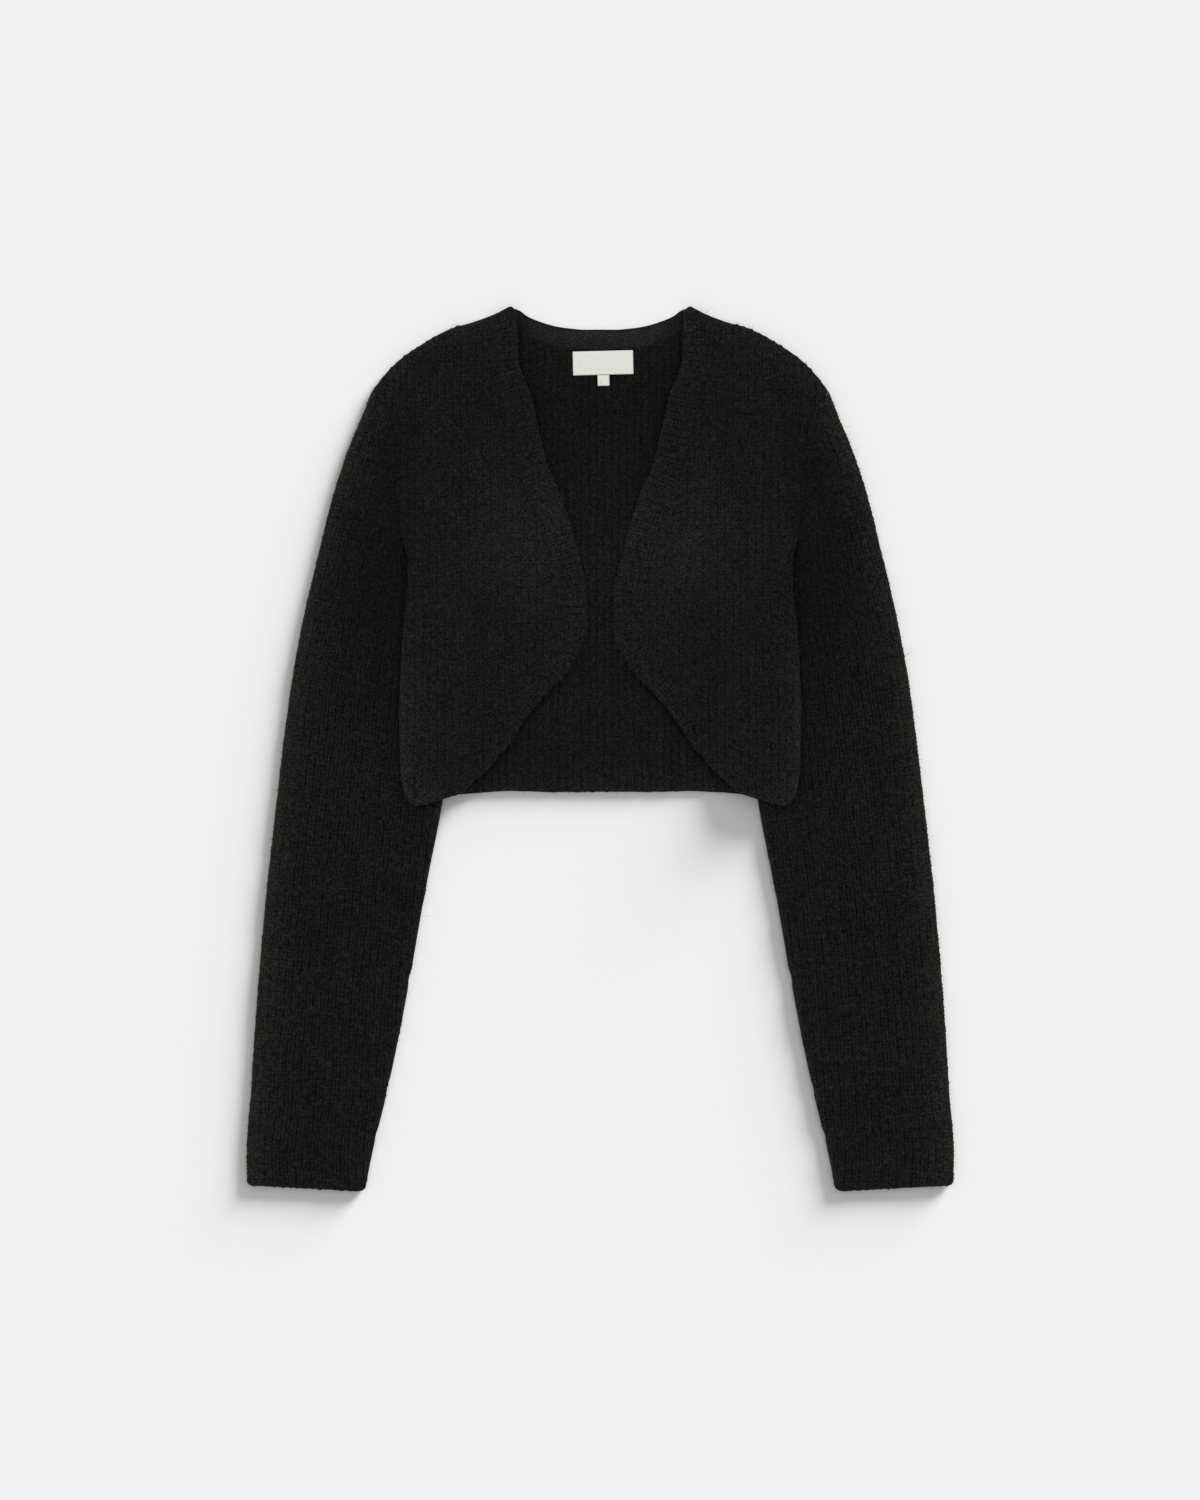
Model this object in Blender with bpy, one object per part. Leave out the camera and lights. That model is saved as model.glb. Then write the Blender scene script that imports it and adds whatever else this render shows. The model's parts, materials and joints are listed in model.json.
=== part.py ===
"""Knitted shrug, laid flat and face up: back, two fronts, two sleeves, edge bands and a bare label.

The shrug rests on the floor, z = 0, with its neck towards +Y, its cuffs towards -Y and its front
facing up. The origin is on the floor, below the middle of its box. The wearer's right side is on
the -X side. Both sides mirror each other, so a place on the shrug is given as (out, up): how far
out from the middle line it is, and how far up the shrug. Every length here is in millimetres, and
Shell.build turns it into metres.
"""

import math
from typing import NamedTuple

import bmesh
import bpy
import numpy as np

# The knit
RIB_PITCH = 6.2            # from one rib to the next
RIB_STEP = RIB_PITCH / 2   # from a rib's crest to its valley
RIB_HEIGHT = 1.0           # how far a crest stands above a valley
WALL = 2.4                 # the cloth below the valleys
RIM = 1.2                  # the cloth's thickness at its very edge
ROUND = 3.5                # how far in from an edge the cloth reaches its full thickness
EDGE_STEP = 1.3            # the first point in from an edge, which rounds it

# Gaps
SEAM_GAP = 0.3             # between two pieces sewn together, or lying on each other
ARMHOLE_GAP = 0.4          # between a sleeve's top end and the body's edge
AIR = 0.9                  # extra air between back and fronts, away from their seams
AIR_RAMP = 14.0            # how far in from a seam that air has opened fully

# The bands
BAND_WIDTH = 24.0          # front band, from the free edge to its seam
BAND_FADE_START = 315.0    # along the free edge from the shoulder, where the band starts to narrow
BAND_FADE_END = 412.0      # and where it has narrowed to nothing
BAND_TIP = 2.2             # its width where it is cast off
BAND_CUT_BLEND = 26.0      # the stretch over which its rows turn from the shoulder line
BAND_HALF_GAP = 0.2        # from its seam line to the band, and to the front
BAND_PLAIN_STEPS = 4       # its plain underside has a point at every fourth step of its ribs
NECK_BAND_DROP = 16.0      # height of the band along the back neck
NECK_BAND_HALF = 73.0      # and how far it reaches to each side

# How the fronts lie
FRONT_LIFT = 3.6           # how far a front's free edge stands up from the back
LIFT_REACH = 42.0          # how far in from the edge that lift has gone
LIFT_SHOULDER = 60.0       # below the shoulder point, where the lift has its full height
LIFT_SIDE = 60.0           # in from the side edge, likewise

# How the body lies over the sleeves
SLEEVE_BASE = 6.8          # a flattened sleeve's height, without its ribs
SLEEVE_ROUND = 7.0         # radius of its folds
UNDER_ROUND = 3.0          # how far in from a fold its underside meets the floor
RISE = 9.0                 # underside of the body where it lies over a sleeve
RAMP = 30.0                # width of the slope from the floor up to there
RAMP_CLEAR = 2.5           # how far inside the sleeve's fold that slope ends
RISE_FULL_UP = 168.0       # the body lies over the sleeve from here down
RISE_NONE_UP = 205.0       # and beside it from here up
RAMP_START = 90.0          # nearer the middle than this, the body lies flat
PLAIN_STEP = 24.8          # between the points of a plain face that lies flat
SLOPE_STEP = 6.2           # and of one that slopes

# The sleeve's hollow
SLOT_MARGIN = 3.3          # from a fold to the hollow
SLOT_LEAST = 0.8           # least height of the hollow
FOLD_HALF = 0.6            # half the height of the fold's upright outer face
PLAN_FADE = 0.42           # share of the sleeve over which its rows lose the armhole's bend
BUNCH_PLACE = (170.0, 171.0)      # where the sleeve bunches up beside the body, at the underarm
BUNCH_REACH = 24.0
BUNCH_HEIGHT = 3.4
BUNCH_START = 5.0          # how far from the body's edge it has risen

# The bare label and its tab
LABEL_SIZE = (50.2, 20.6, 1.0)
LABEL_PLACE = (2.8, 316.4)
LABEL_TURN = math.radians(1.4)
TAB_SIZE = (10.4, 8.6, 1.0)
TAB_OFFSET = 0.6           # along the label, from its middle
LABEL_SOFT = 0.3           # rounding of their edges

# How finely the curves are read
MM = 0.001
LINE_STEP = 2.0            # between the points of an edge's close line
PLAN_POINTS = 200          # points of a sleeve row in plan, before its ribs are placed
CREASE_ANGLE = 50.0        # faces that meet at more than this are shaded as an edge
END_CLEAR = 0.4            # share of a step that a row's ends keep clear of its inner points
CROSSING_TURNS = 40        # steps that find where a row meets an edge
SIDE_GUESS = 165.0         # where that search starts, at the side edge
SEAM_GUESS = 90.0          # and at the band's seam
BAND_ROWS = (0.0, 0.12, 1.0)     # rows along a band, as shares of its width


class Point(NamedTuple):
    """A point of an edge: how far out from the middle, and how far up the shrug."""
    out: float
    up: float


class Rung(NamedTuple):
    """A row across a sleeve: how far up the shrug its outer and its inner end lie."""
    outer_up: float
    inner_up: float


# Each edge is listed from its upper or inner end.
SHOULDER_EDGE = (
    Point(68.7, 358.3), Point(73.6, 362.0), Point(78.5, 360.0), Point(98.2, 351.0),
    Point(117.9, 345.6), Point(132.6, 339.5), Point(147.4, 330.5), Point(162.2, 320.6),
    Point(172.0, 311.6), Point(181.8, 300.1), Point(186.8, 292.7))
SIDE_EDGE = (
    Point(186.8, 292.7), Point(183.5, 287.8), Point(172.8, 273.9), Point(169.5, 253.4),
    Point(167.1, 220.6), Point(165.5, 187.8), Point(160.5, 166.0), Point(157.2, 154.0),
    Point(158.1, 127.9), Point(160.5, 100.9), Point(163.0, 73.0), Point(164.6, 20.0),
    Point(163.0, -22.0), Point(158.9, -41.8), Point(154.8, -49.2))
OPENING_EDGE = (
    Point(68.7, 358.3), Point(67.9, 335.4), Point(67.0, 317.3), Point(64.0, 307.0),
    Point(57.6, 291.9), Point(50.6, 261.6), Point(43.3, 232.9), Point(32.6, 208.3),
    Point(21.9, 174.7), Point(14.6, 146.0), Point(11.4, 125.0), Point(10.9, 103.3),
    Point(12.9, 89.4), Point(19.5, 76.3), Point(29.3, 60.5), Point(44.1, 45.9),
    Point(61.5, 25.0), Point(79.3, -2.5), Point(93.3, -18.0),
    Point(103.9, -27.1), Point(110.5, -34.0))
FRONT_HEM = (
    Point(110.5, -34.0), Point(118.0, -37.6), Point(130.2, -41.2), Point(145.0, -45.6),
    Point(154.8, -49.2))
BACK_HEM = (
    Point(0.0, -33.6), Point(60.0, -33.8), Point(100.0, -34.2), Point(118.0, -36.6),
    Point(130.0, -39.8), Point(145.0, -44.0), Point(155.2, -47.8))
NECK_EDGE = (
    Point(0.0, 343.6), Point(12.9, 343.6), Point(38.3, 345.6), Point(55.6, 351.8),
    Point(66.2, 359.2), Point(73.0, 361.6))
SLEEVE_OUTER = (
    Point(187.2, 292.7), Point(192.5, 276.3), Point(205.6, 246.8), Point(218.7, 207.5),
    Point(228.6, 168.1), Point(242.5, 109.1), Point(253.2, 50.0), Point(265.5, -48.4),
    Point(276.1, -146.8), Point(284.3, -255.0), Point(289.6, -330.0), Point(288.6, -357.0))
SLEEVE_INNER = (
    Point(157.6, 154.0), Point(146.6, 138.0), Point(136.7, 118.0), Point(128.5, 92.0),
    Point(123.6, 56.6), Point(122.8, 23.8), Point(126.1, -13.1), Point(130.8, -48.0),
    Point(144.1, -115.6), Point(158.9, -194.3), Point(173.6, -273.0), Point(190.4, -340.0),
    Point(194.0, -362.0))
SLEEVE_RUNGS = (
    Rung(292.7, 154.0), Rung(262.0, 151.0), Rung(233.7, 139.0), Rung(200.0, 117.0),
    Rung(167.3, 92.0), Rung(89.4, 35.3), Rung(3.3, -27.1), Rung(-86.9, -100.9),
    Rung(-222.2, -225.5), Rung(-357.0, -362.0))
SLEEVE_ROWS = 16
SLEEVE_END_STEPS = (0.002, 0.007)   # rows that round off each end
SLEEVE_ROW_EASE = 1.35     # above 1, the rows stand closer near the armhole

# Rows of the body: level ones in the middle, and ones that bend to the shoulders and to the hem.
FRONT_LEVELS = (
    258.0, 232.0, 206.0, 188.0, 170.0, 150.0, 126.0, 104.0, 84.0, 62.0, 40.0, 18.0, -6.0)
BACK_LEVELS = (258.0, 206.0, 188.0, 170.0, 150.0, 120.0, 84.0, 40.0, -6.0)
EDGE_INSETS = (EDGE_STEP, 0.0)   # the rows along the shoulder and the hem
SHOULDER_SHARE = 0.5       # the row between the shoulder and the first level one, as a share


def through(knots, values, at):
    """Smooth curve through knots, which never swings past them (monotone cubic)."""
    knots = np.asarray(knots, dtype=float)
    values = np.asarray(values, dtype=float)
    at = np.clip(np.asarray(at, dtype=float), knots[0], knots[-1])
    width = np.diff(knots)
    slope = np.diff(values) / width
    product = slope[:-1] * slope[1:]
    total = slope[:-1] + slope[1:]
    level = product <= 0.0
    inner = np.where(level, 0.0, 2.0 * product / np.where(level, 1.0, total))
    tangent = np.concatenate([slope[:1], inner, slope[-1:]])
    cell = np.clip(np.searchsorted(knots, at, side="right") - 1, 0, len(width) - 1)
    t = (at - knots[cell]) / width[cell]
    start = values[cell]
    end = values[cell + 1]
    lead = tangent[cell] * width[cell]
    trail = tangent[cell + 1] * width[cell]
    return ((2 * t**3 - 3 * t**2 + 1) * start + (t**3 - 2 * t**2 + t) * lead
            + (3 * t**2 - 2 * t**3) * end + (t**3 - t**2) * trail)


def out_at(edge, up):
    """How far out an edge is at a height; the edge runs downwards."""
    rows = edge[::-1]
    return through([p.up for p in rows], [p.out for p in rows], up)


def up_at(edge, out):
    """How far up an edge is at a distance from the middle; the edge runs outwards."""
    return through([p.out for p in edge], [p.up for p in edge], out)


def soft_step(value):
    """0 up to 0, 1 from 1 on, and a smooth rise between."""
    t = np.clip(value, 0.0, 1.0)
    return t * t * (3.0 - 2.0 * t)


def rounding(distance, radius):
    """Quarter circle: 0 at the edge, 1 a radius in from it."""
    t = np.clip(np.asarray(distance) / radius, 0.0, 1.0)
    return np.sqrt(1.0 - (1.0 - t) ** 2)


def rib(distance):
    """Height of the ribs: crests at whole pitches."""
    return RIB_HEIGHT * (0.5 + 0.5 * np.cos(2.0 * math.pi * np.asarray(distance) / RIB_PITCH))


def distance_to(points, line):
    """Distance in plan from each point to a line of points."""
    points = np.asarray(points)[:, None, :2]
    start = line[None, :-1]
    run = line[None, 1:] - start
    share = np.clip(((points - start) * run).sum(2) / (run * run).sum(2), 0.0, 1.0)
    foot = start + share[..., None] * run
    return np.sqrt(((points - foot) ** 2).sum(2)).min(1)


def along(line):
    """Distance along a line of points, from its start to each point."""
    steps = np.sqrt((np.diff(line, axis=0) ** 2).sum(1))
    return np.concatenate([[0.0], np.cumsum(steps)])


def fine_down(edge):
    """An edge that runs downwards, as close points."""
    top = edge[0].up
    low = edge[-1].up
    ups = np.linspace(top, low, int((top - low) / LINE_STEP) + 1)
    return np.column_stack([out_at(edge, ups), ups])


def fine_out(edge):
    """An edge that runs outwards, as close points."""
    near = edge[0].out
    far = edge[-1].out
    outs = np.linspace(near, far, int((far - near) / LINE_STEP) + 1)
    return np.column_stack([outs, up_at(edge, outs)])


SHOULDER_LINE = fine_out(SHOULDER_EDGE)
SIDE_LINE = fine_down(SIDE_EDGE)
OPENING_LINE = fine_down(OPENING_EDGE)
FRONT_HEM_LINE = fine_out(FRONT_HEM)
BACK_HEM_LINE = fine_out(BACK_HEM)
NECK_LINE = fine_out(NECK_EDGE)
# Where two lines join, their shared point is kept once; the seam starts past the neck's corner.
SEWN_LINE = np.vstack([SHOULDER_LINE[3:-1], SIDE_LINE])
FREE_FRONT_LINE = np.vstack([OPENING_LINE[:-1], FRONT_HEM_LINE])


class Shell:
    """Rows of points and the triangles between them, which close into one solid."""

    def __init__(self, side):
        self.side = side
        self.points = []
        self.faces = []

    def row(self, points, order):
        """Adds a row of points. order is the number by which the row is walked."""
        first = len(self.points)
        self.points.extend(np.asarray(points, dtype=float).tolist())
        return list(range(first, len(self.points))), list(order)

    def fill(self, row_a, row_b):
        """Fills the strip between two rows, walking both by their order."""
        ids_a, order_a = row_a
        ids_b, order_b = row_b
        i = 0
        j = 0
        while i < len(ids_a) - 1 or j < len(ids_b) - 1:
            b_done = j == len(ids_b) - 1
            if b_done or (i < len(ids_a) - 1 and order_a[i + 1] <= order_b[j + 1]):
                self.faces.append((ids_a[i], ids_a[i + 1], ids_b[j]))
                i += 1
            else:
                self.faces.append((ids_a[i], ids_b[j + 1], ids_b[j]))
                j += 1

    def skin(self, rows):
        """Fills between each row and the next."""
        for row_a, row_b in zip(rows[:-1], rows[1:]):
            self.fill(row_a, row_b)

    def rims(self, upper, lower):
        """Fills the upright faces at both ends of the rows of an upper and a lower skin."""
        for end in (0, -1):
            chain_a = [ids[end] for ids, _ in upper]
            chain_b = [ids[end] for ids, _ in lower]
            self.fill((chain_a, range(len(chain_a))), (chain_b, range(len(chain_b))))

    def build(self, name, material):
        """Makes the object, in metres, with its faces pointing out."""
        scale = np.array([self.side * MM, MM, MM])
        points = np.array(self.points) * scale
        mesh = bpy.data.meshes.new(name)
        mesh.from_pydata(points.tolist(), [], self.faces)
        soften(mesh)
        return place(name, mesh, material)


def soften(mesh):
    """Turns the faces outwards and shades them smooth up to a clear edge."""
    work = bmesh.new()
    work.from_mesh(mesh)
    bmesh.ops.recalc_face_normals(work, faces=work.faces[:])
    if work.calc_volume(signed=True) < 0.0:
        bmesh.ops.reverse_faces(work, faces=work.faces[:])
    work.to_mesh(mesh)
    work.free()
    mesh.shade_smooth()
    mesh.set_sharp_from_angle(angle=math.radians(CREASE_ANGLE))


def place(name, mesh, material):
    """Links a mesh to the scene as a named object with one material."""
    piece = bpy.data.objects.new(name, mesh)
    piece.data.materials.append(material)
    bpy.context.scene.collection.objects.link(piece)
    return piece


def finish(name, colour, roughness):
    """A cloth material."""
    material = bpy.data.materials.new(name)
    material.use_nodes = True
    shader = material.node_tree.nodes["Principled BSDF"]
    shader.inputs["Base Color"].default_value = (*colour, 1.0)
    shader.inputs["Roughness"].default_value = roughness
    shader.inputs["Metallic"].default_value = 0.0
    material.diffuse_color = (*colour, 1.0)
    return material


def columns(start, end, step):
    """Places across a row: both ends, a point just in from each, and whole steps between."""
    clear = EDGE_STEP + 0.6 * EDGE_STEP
    first = math.ceil((start + clear) / step)
    last = math.floor((end - clear) / step)
    inner = step * np.arange(first, last + 1)
    return np.concatenate([[start, start + EDGE_STEP], inner, [end - EDGE_STEP, end]])


def ends_only(start, end, step):
    """Places across a row of a plain side: both ends and whole steps between."""
    first = math.ceil(start / step + END_CLEAR)
    last = math.floor(end / step - END_CLEAR)
    return np.concatenate([[start], step * np.arange(first, last + 1), [end]])


def plain_columns(start, end):
    """Places across the body's plain face: far apart where it lies flat, closer on its slopes."""
    flat = ends_only(start, end, PLAIN_STEP)
    slope = ends_only(start, end, SLOPE_STEP)
    inner = np.concatenate([flat[np.abs(flat) < RAMP_START], slope[np.abs(slope) >= RAMP_START]])
    return np.unique(np.concatenate([[start], inner, [end]]))


def body_rise(out, up):
    """How far the sleeve below lifts the body: a slope across, which fades out upwards."""
    fold = out_at(SLEEVE_INNER, up) - RAMP_CLEAR
    across = soft_step((out - fold + RAMP) / RAMP)
    down = soft_step((RISE_NONE_UP - up) / (RISE_NONE_UP - RISE_FULL_UP))
    return RISE * across * down


def front_lift(points):
    """How far a front's free edge stands up: most at the edge, none at the shoulder and side."""
    free = distance_to(points, FREE_FRONT_LINE)
    fall = np.clip(1.0 - free / LIFT_REACH, 0.0, 1.0) ** 2
    below = soft_step((SHOULDER_EDGE[1].up - points[:, 1]) / LIFT_SHOULDER)
    inside = soft_step((out_at(SIDE_EDGE, points[:, 1]) - points[:, 0]) / LIFT_SIDE)
    return FRONT_LIFT * fall * below * inside


def front_heights(points, ribs):
    """Lower and upper face of a front at places in plan; ribs is the relief there."""
    sewn = distance_to(points, SEWN_LINE)
    free = distance_to(points, FREE_FRONT_LINE)
    edge = rounding(np.minimum(sewn, free), ROUND)
    air = AIR * soft_step(sewn / AIR_RAMP)
    low = WALL + RIB_HEIGHT + SEAM_GAP + air + body_rise(points[:, 0], points[:, 1])
    low = low + front_lift(points)
    return low, low + RIM + (WALL - RIM) * edge + ribs * edge


def back_heights(points, ribs):
    """Lower and upper face of the back at places in plan; the lower one is flat on the floor."""
    mirrored = np.column_stack([np.abs(points[:, 0]), points[:, 1]])
    rise = body_rise(mirrored[:, 0], mirrored[:, 1])
    sewn = distance_to(mirrored, SEWN_LINE)
    free = np.minimum(distance_to(mirrored, BACK_HEM_LINE), distance_to(mirrored, NECK_LINE))
    crest = WALL + RIB_HEIGHT
    low = rise + (crest - RIM) * (1.0 - rounding(sewn, ROUND))
    soft_free = rounding(free, ROUND)
    soft_sewn = rounding(sewn, ROUND)
    high = rise + RIM + (WALL - RIM) * soft_free + ribs * soft_free
    return low, high + (rise + crest - high) * (1.0 - soft_sewn)


def row_heights(top, levels, bottom):
    """Rows of a body piece from the shoulder to the hem, each a function of the way out."""
    rows = [lambda out, inset=inset: top(out) - inset for inset in EDGE_INSETS[::-1]]
    rows.append(lambda out: levels[0] + SHOULDER_SHARE * (top(out) - levels[0]))
    rows.extend(lambda out, level=level: level + 0.0 * out for level in levels)
    rows.extend(lambda out, inset=inset: bottom(out) + inset for inset in EDGE_INSETS)
    return rows


def crossing(row, edge_out, guess):
    """Where a row meets an edge, by stepping to and fro between the two."""
    out = guess
    for _ in range(CROSSING_TURNS):
        out = 0.5 * out + 0.5 * float(edge_out(float(row(np.float64(out)))))
    return out


def seam_offset():
    """The front band's seam: the opening's edge moved in by the band's width, which fades."""
    run = along(OPENING_LINE)
    tangent = np.gradient(OPENING_LINE, axis=0)
    tangent /= np.linalg.norm(tangent, axis=1)[:, None]
    inward = np.column_stack([-tangent[:, 1], tangent[:, 0]])
    width = BAND_WIDTH * (1.0 - soft_step((run - BAND_FADE_START) / (BAND_FADE_END - BAND_FADE_START)))
    return run, inward, width


def top_of_front(out):
    """The shoulder line over a front."""
    return up_at(SHOULDER_EDGE, out)


def hem_of_front(out):
    """The hem under a front, carried on level inwards."""
    return up_at(FRONT_HEM, out)


def top_of_back(out):
    """The back's top: the shoulder line, cut down below the neck band."""
    out = np.abs(out)
    neck = up_at(NECK_EDGE, out) - NECK_BAND_DROP - SEAM_GAP
    return np.where(out > NECK_BAND_HALF + 1.5 * SEAM_GAP, up_at(SHOULDER_EDGE, out), neck)


def hem_of_back(out):
    """The back's hem."""
    return up_at(BACK_HEM, np.abs(out))


FRONT_ROWS = row_heights(top_of_front, FRONT_LEVELS, hem_of_front)
BACK_ROWS = row_heights(top_of_back, BACK_LEVELS, hem_of_back)


def side_knots(rows):
    """Where rows meet the side edge, highest first."""
    outs = [crossing(row, lambda up: out_at(SIDE_EDGE, up), SIDE_GUESS) for row in rows]
    return np.array([[out, float(row(np.float64(out)))] for out, row in zip(outs, rows)])


def seam_knots():
    """Where the front's rows meet the band's seam, or its free edge below the band."""
    run, inward, width = seam_offset()
    seam = OPENING_LINE + inward * width[:, None]
    order = np.argsort(seam[:, 1])
    knots = []
    for row in FRONT_ROWS:
        out = crossing(row, lambda up: np.interp(up, seam[order, 1], seam[order, 0]), SEAM_GUESS)
        knots.append([out, float(row(np.float64(out)))])
    return np.array(knots)


FRONT_SIDE_KNOTS = side_knots(FRONT_ROWS)
BACK_SIDE_KNOTS = side_knots(BACK_ROWS)
SEAM_KNOTS = seam_knots()


def out_on(knots, up):
    """Distance out on a broken line of knots that runs downwards."""
    return np.interp(up, knots[::-1, 1], knots[::-1, 0])


def make_front(name, side, material):
    """One front: ribs run up and down it, over a plain inside."""
    shell = Shell(side)
    upper = []
    lower = []
    for index, row in enumerate(FRONT_ROWS):
        start = SEAM_KNOTS[index, 0] + BAND_HALF_GAP
        end = FRONT_SIDE_KNOTS[index, 0]
        at = columns(start, end, RIB_STEP)
        plain = at if index in (0, len(FRONT_ROWS) - 1) else plain_columns(start, end)
        places = np.column_stack([at, row(at)])
        _, high = front_heights(places, rib(at))
        upper.append(shell.row(np.column_stack([places, high]), at))
        places = np.column_stack([plain, row(plain)])
        low, _ = front_heights(places, 0.0 * plain)
        lower.append(shell.row(np.column_stack([places, low]), plain))
    close_panel(shell, upper, lower)
    return shell.build(name, material)


def close_panel(shell, upper, lower):
    """Skins both faces of a panel and closes it all round."""
    shell.skin(upper)
    shell.skin(lower)
    shell.rims(upper, lower)
    shell.fill(upper[0], lower[0])
    shell.fill(upper[-1], lower[-1])


def make_back(name, material):
    """The back: its ribs face up, and its underside is flat on the floor."""
    shell = Shell(1.0)
    upper = []
    lower = []
    notch = NECK_BAND_HALF + SEAM_GAP * np.array([1.0, 2.0])
    for index, row in enumerate(BACK_ROWS):
        end = BACK_SIDE_KNOTS[index, 0]
        half = columns(-end, end, RIB_STEP)
        plain = half if index in (0, len(BACK_ROWS) - 1) else plain_columns(-end, end)
        if index <= len(EDGE_INSETS):
            steps = np.concatenate([-notch, notch])
            half = np.unique(np.concatenate([half, steps]))
            plain = np.unique(np.concatenate([plain, steps]))
        places = np.column_stack([half, row(half)])
        _, high = back_heights(places, rib(half))
        upper.append(shell.row(np.column_stack([places, high]), half))
        places = np.column_stack([plain, row(plain)])
        low, _ = back_heights(places, 0.0 * plain)
        lower.append(shell.row(np.column_stack([places, low]), plain))
    close_panel(shell, upper, lower)
    return shell.build(name, material)


def make_band(name, side, material):
    """The band along a front's V edge: its ribs run across it, from the free edge to the seam."""
    run, inward, width = seam_offset()
    end = float(run[np.argmax(width < BAND_TIP)])
    at = RIB_STEP * np.arange(int(end / RIB_STEP) + 1)
    edge = np.column_stack([np.interp(at, run, OPENING_LINE[:, k]) for k in (0, 1)])
    normal = np.column_stack([np.interp(at, run, inward[:, k]) for k in (0, 1)])
    across = np.interp(at, run, width)
    blend = np.clip(1.0 - at / BAND_CUT_BLEND, 0.0, 1.0)
    upper = []
    lower = []
    shell = Shell(side)
    for share in BAND_ROWS:
        places = edge + normal * (across * share)[:, None]
        cut = up_at(SHOULDER_EDGE, places[:, 0]) - SHOULDER_EDGE[0].up
        places[:, 1] += cut * blend
        if share == 1.0:
            places[:, 0] = out_on(SEAM_KNOTS, places[:, 1]) - BAND_HALF_GAP
        low, high = front_heights(places, rib(at))
        upper.append(shell.row(np.column_stack([places, high]), at))
        if share in (0.0, 1.0):
            step = 1 if share == 1.0 else BAND_PLAIN_STEPS
            plain = np.unique(np.append(np.arange(0, len(at), step), len(at) - 1))
            lower.append(shell.row(np.column_stack([places, low])[plain], at[plain]))
    close_panel(shell, upper, lower)
    return shell.build(name, material)


def make_neck_band(name, material):
    """The smooth band inside the back neck."""
    shell = Shell(1.0)
    at = ends_only(-NECK_BAND_HALF, NECK_BAND_HALF, RIB_STEP)
    upper = []
    lower = []
    for drop in (0.0, EDGE_STEP, ROUND, NECK_BAND_DROP):
        places = np.column_stack([at, up_at(NECK_EDGE, np.abs(at)) - drop])
        low, high = back_heights(places, 0.0 * at + 0.5 * RIB_HEIGHT)
        upper.append(shell.row(np.column_stack([places, high]), at))
        if drop in (0.0, NECK_BAND_DROP):
            lower.append(shell.row(np.column_stack([places, low]), at))
    close_panel(shell, upper, lower)
    return shell.build(name, material)


def body_side(ups):
    """The body's side edge, the front's or the back's, whichever reaches further out."""
    return np.maximum(out_on(FRONT_SIDE_KNOTS, ups), out_on(BACK_SIDE_KNOTS, ups))


def armhole_curve():
    """The sleeve's top end: down the armhole seam, just outside the body's edge."""
    ups = np.linspace(SLEEVE_RUNGS[0].outer_up, SLEEVE_RUNGS[0].inner_up, PLAN_POINTS)
    return np.column_stack([body_side(ups) + ARMHOLE_GAP, ups])


def sleeve_plan():
    """Rows across the sleeve in plan, from the armhole to the cuff, each as close points."""
    curve = armhole_curve()
    run = along(curve) / along(curve)[-1]
    share = np.linspace(0.0, 1.0, PLAN_POINTS)
    curve = np.column_stack([np.interp(share, run, curve[:, k]) for k in (0, 1)])
    chord = curve[0] + share[:, None] * (curve[-1] - curve[0])
    bend = curve - chord
    even = [(k / SLEEVE_ROWS) ** SLEEVE_ROW_EASE for k in range(1, SLEEVE_ROWS)]
    steps = [0.0, *SLEEVE_END_STEPS, *even, *(1.0 - step for step in SLEEVE_END_STEPS[::-1]), 1.0]
    rows = []
    rungs = SLEEVE_RUNGS[::-1]
    for t in steps:
        outer_up = SLEEVE_RUNGS[0].outer_up + t * (SLEEVE_RUNGS[-1].outer_up - SLEEVE_RUNGS[0].outer_up)
        inner_up = float(through([r.outer_up for r in rungs], [r.inner_up for r in rungs], outer_up))
        outer = np.array([float(out_at(SLEEVE_OUTER, outer_up)), outer_up])
        inner = np.array([float(out_at(SLEEVE_INNER, inner_up)), inner_up])
        fade = max(0.0, 1.0 - t / PLAN_FADE) ** 2
        if t == 0.0:
            outer = curve[0]
            inner = curve[-1]
        row = outer + share[:, None] * (inner - outer) + fade * bend
        beside = row[:, 1] >= SLEEVE_RUNGS[0].inner_up
        clear = body_side(row[:, 1]) + ARMHOLE_GAP
        row[:, 0] = np.where(beside, np.maximum(row[:, 0], clear), row[:, 0])
        rows.append(row)
    return rows


def bunch(places):
    """The soft mound of cloth at the underarm, just outside the body's edge."""
    away = ((places - np.array(BUNCH_PLACE)) ** 2).sum(1) / BUNCH_REACH**2
    start = soft_step((places[:, 0] - body_side(places[:, 1])) / BUNCH_START)
    return BUNCH_HEIGHT * np.clip(1.0 - away, 0.0, 1.0) ** 2 * start


def sleeve_top(places, across, length, ends):
    """Height of the sleeve's upper face without ribs: round at both folds and both ends."""
    fold = np.minimum(across, length - across)
    crown = (SLEEVE_BASE * 0.5 - FOLD_HALF) * rounding(fold, SLEEVE_ROUND)
    seat = WALL + RIB_HEIGHT + SEAM_GAP + RIM
    full = SLEEVE_BASE * 0.5 + FOLD_HALF + crown
    return np.minimum(full, seat + (full - seat) * ends) + bunch(places)


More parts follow.
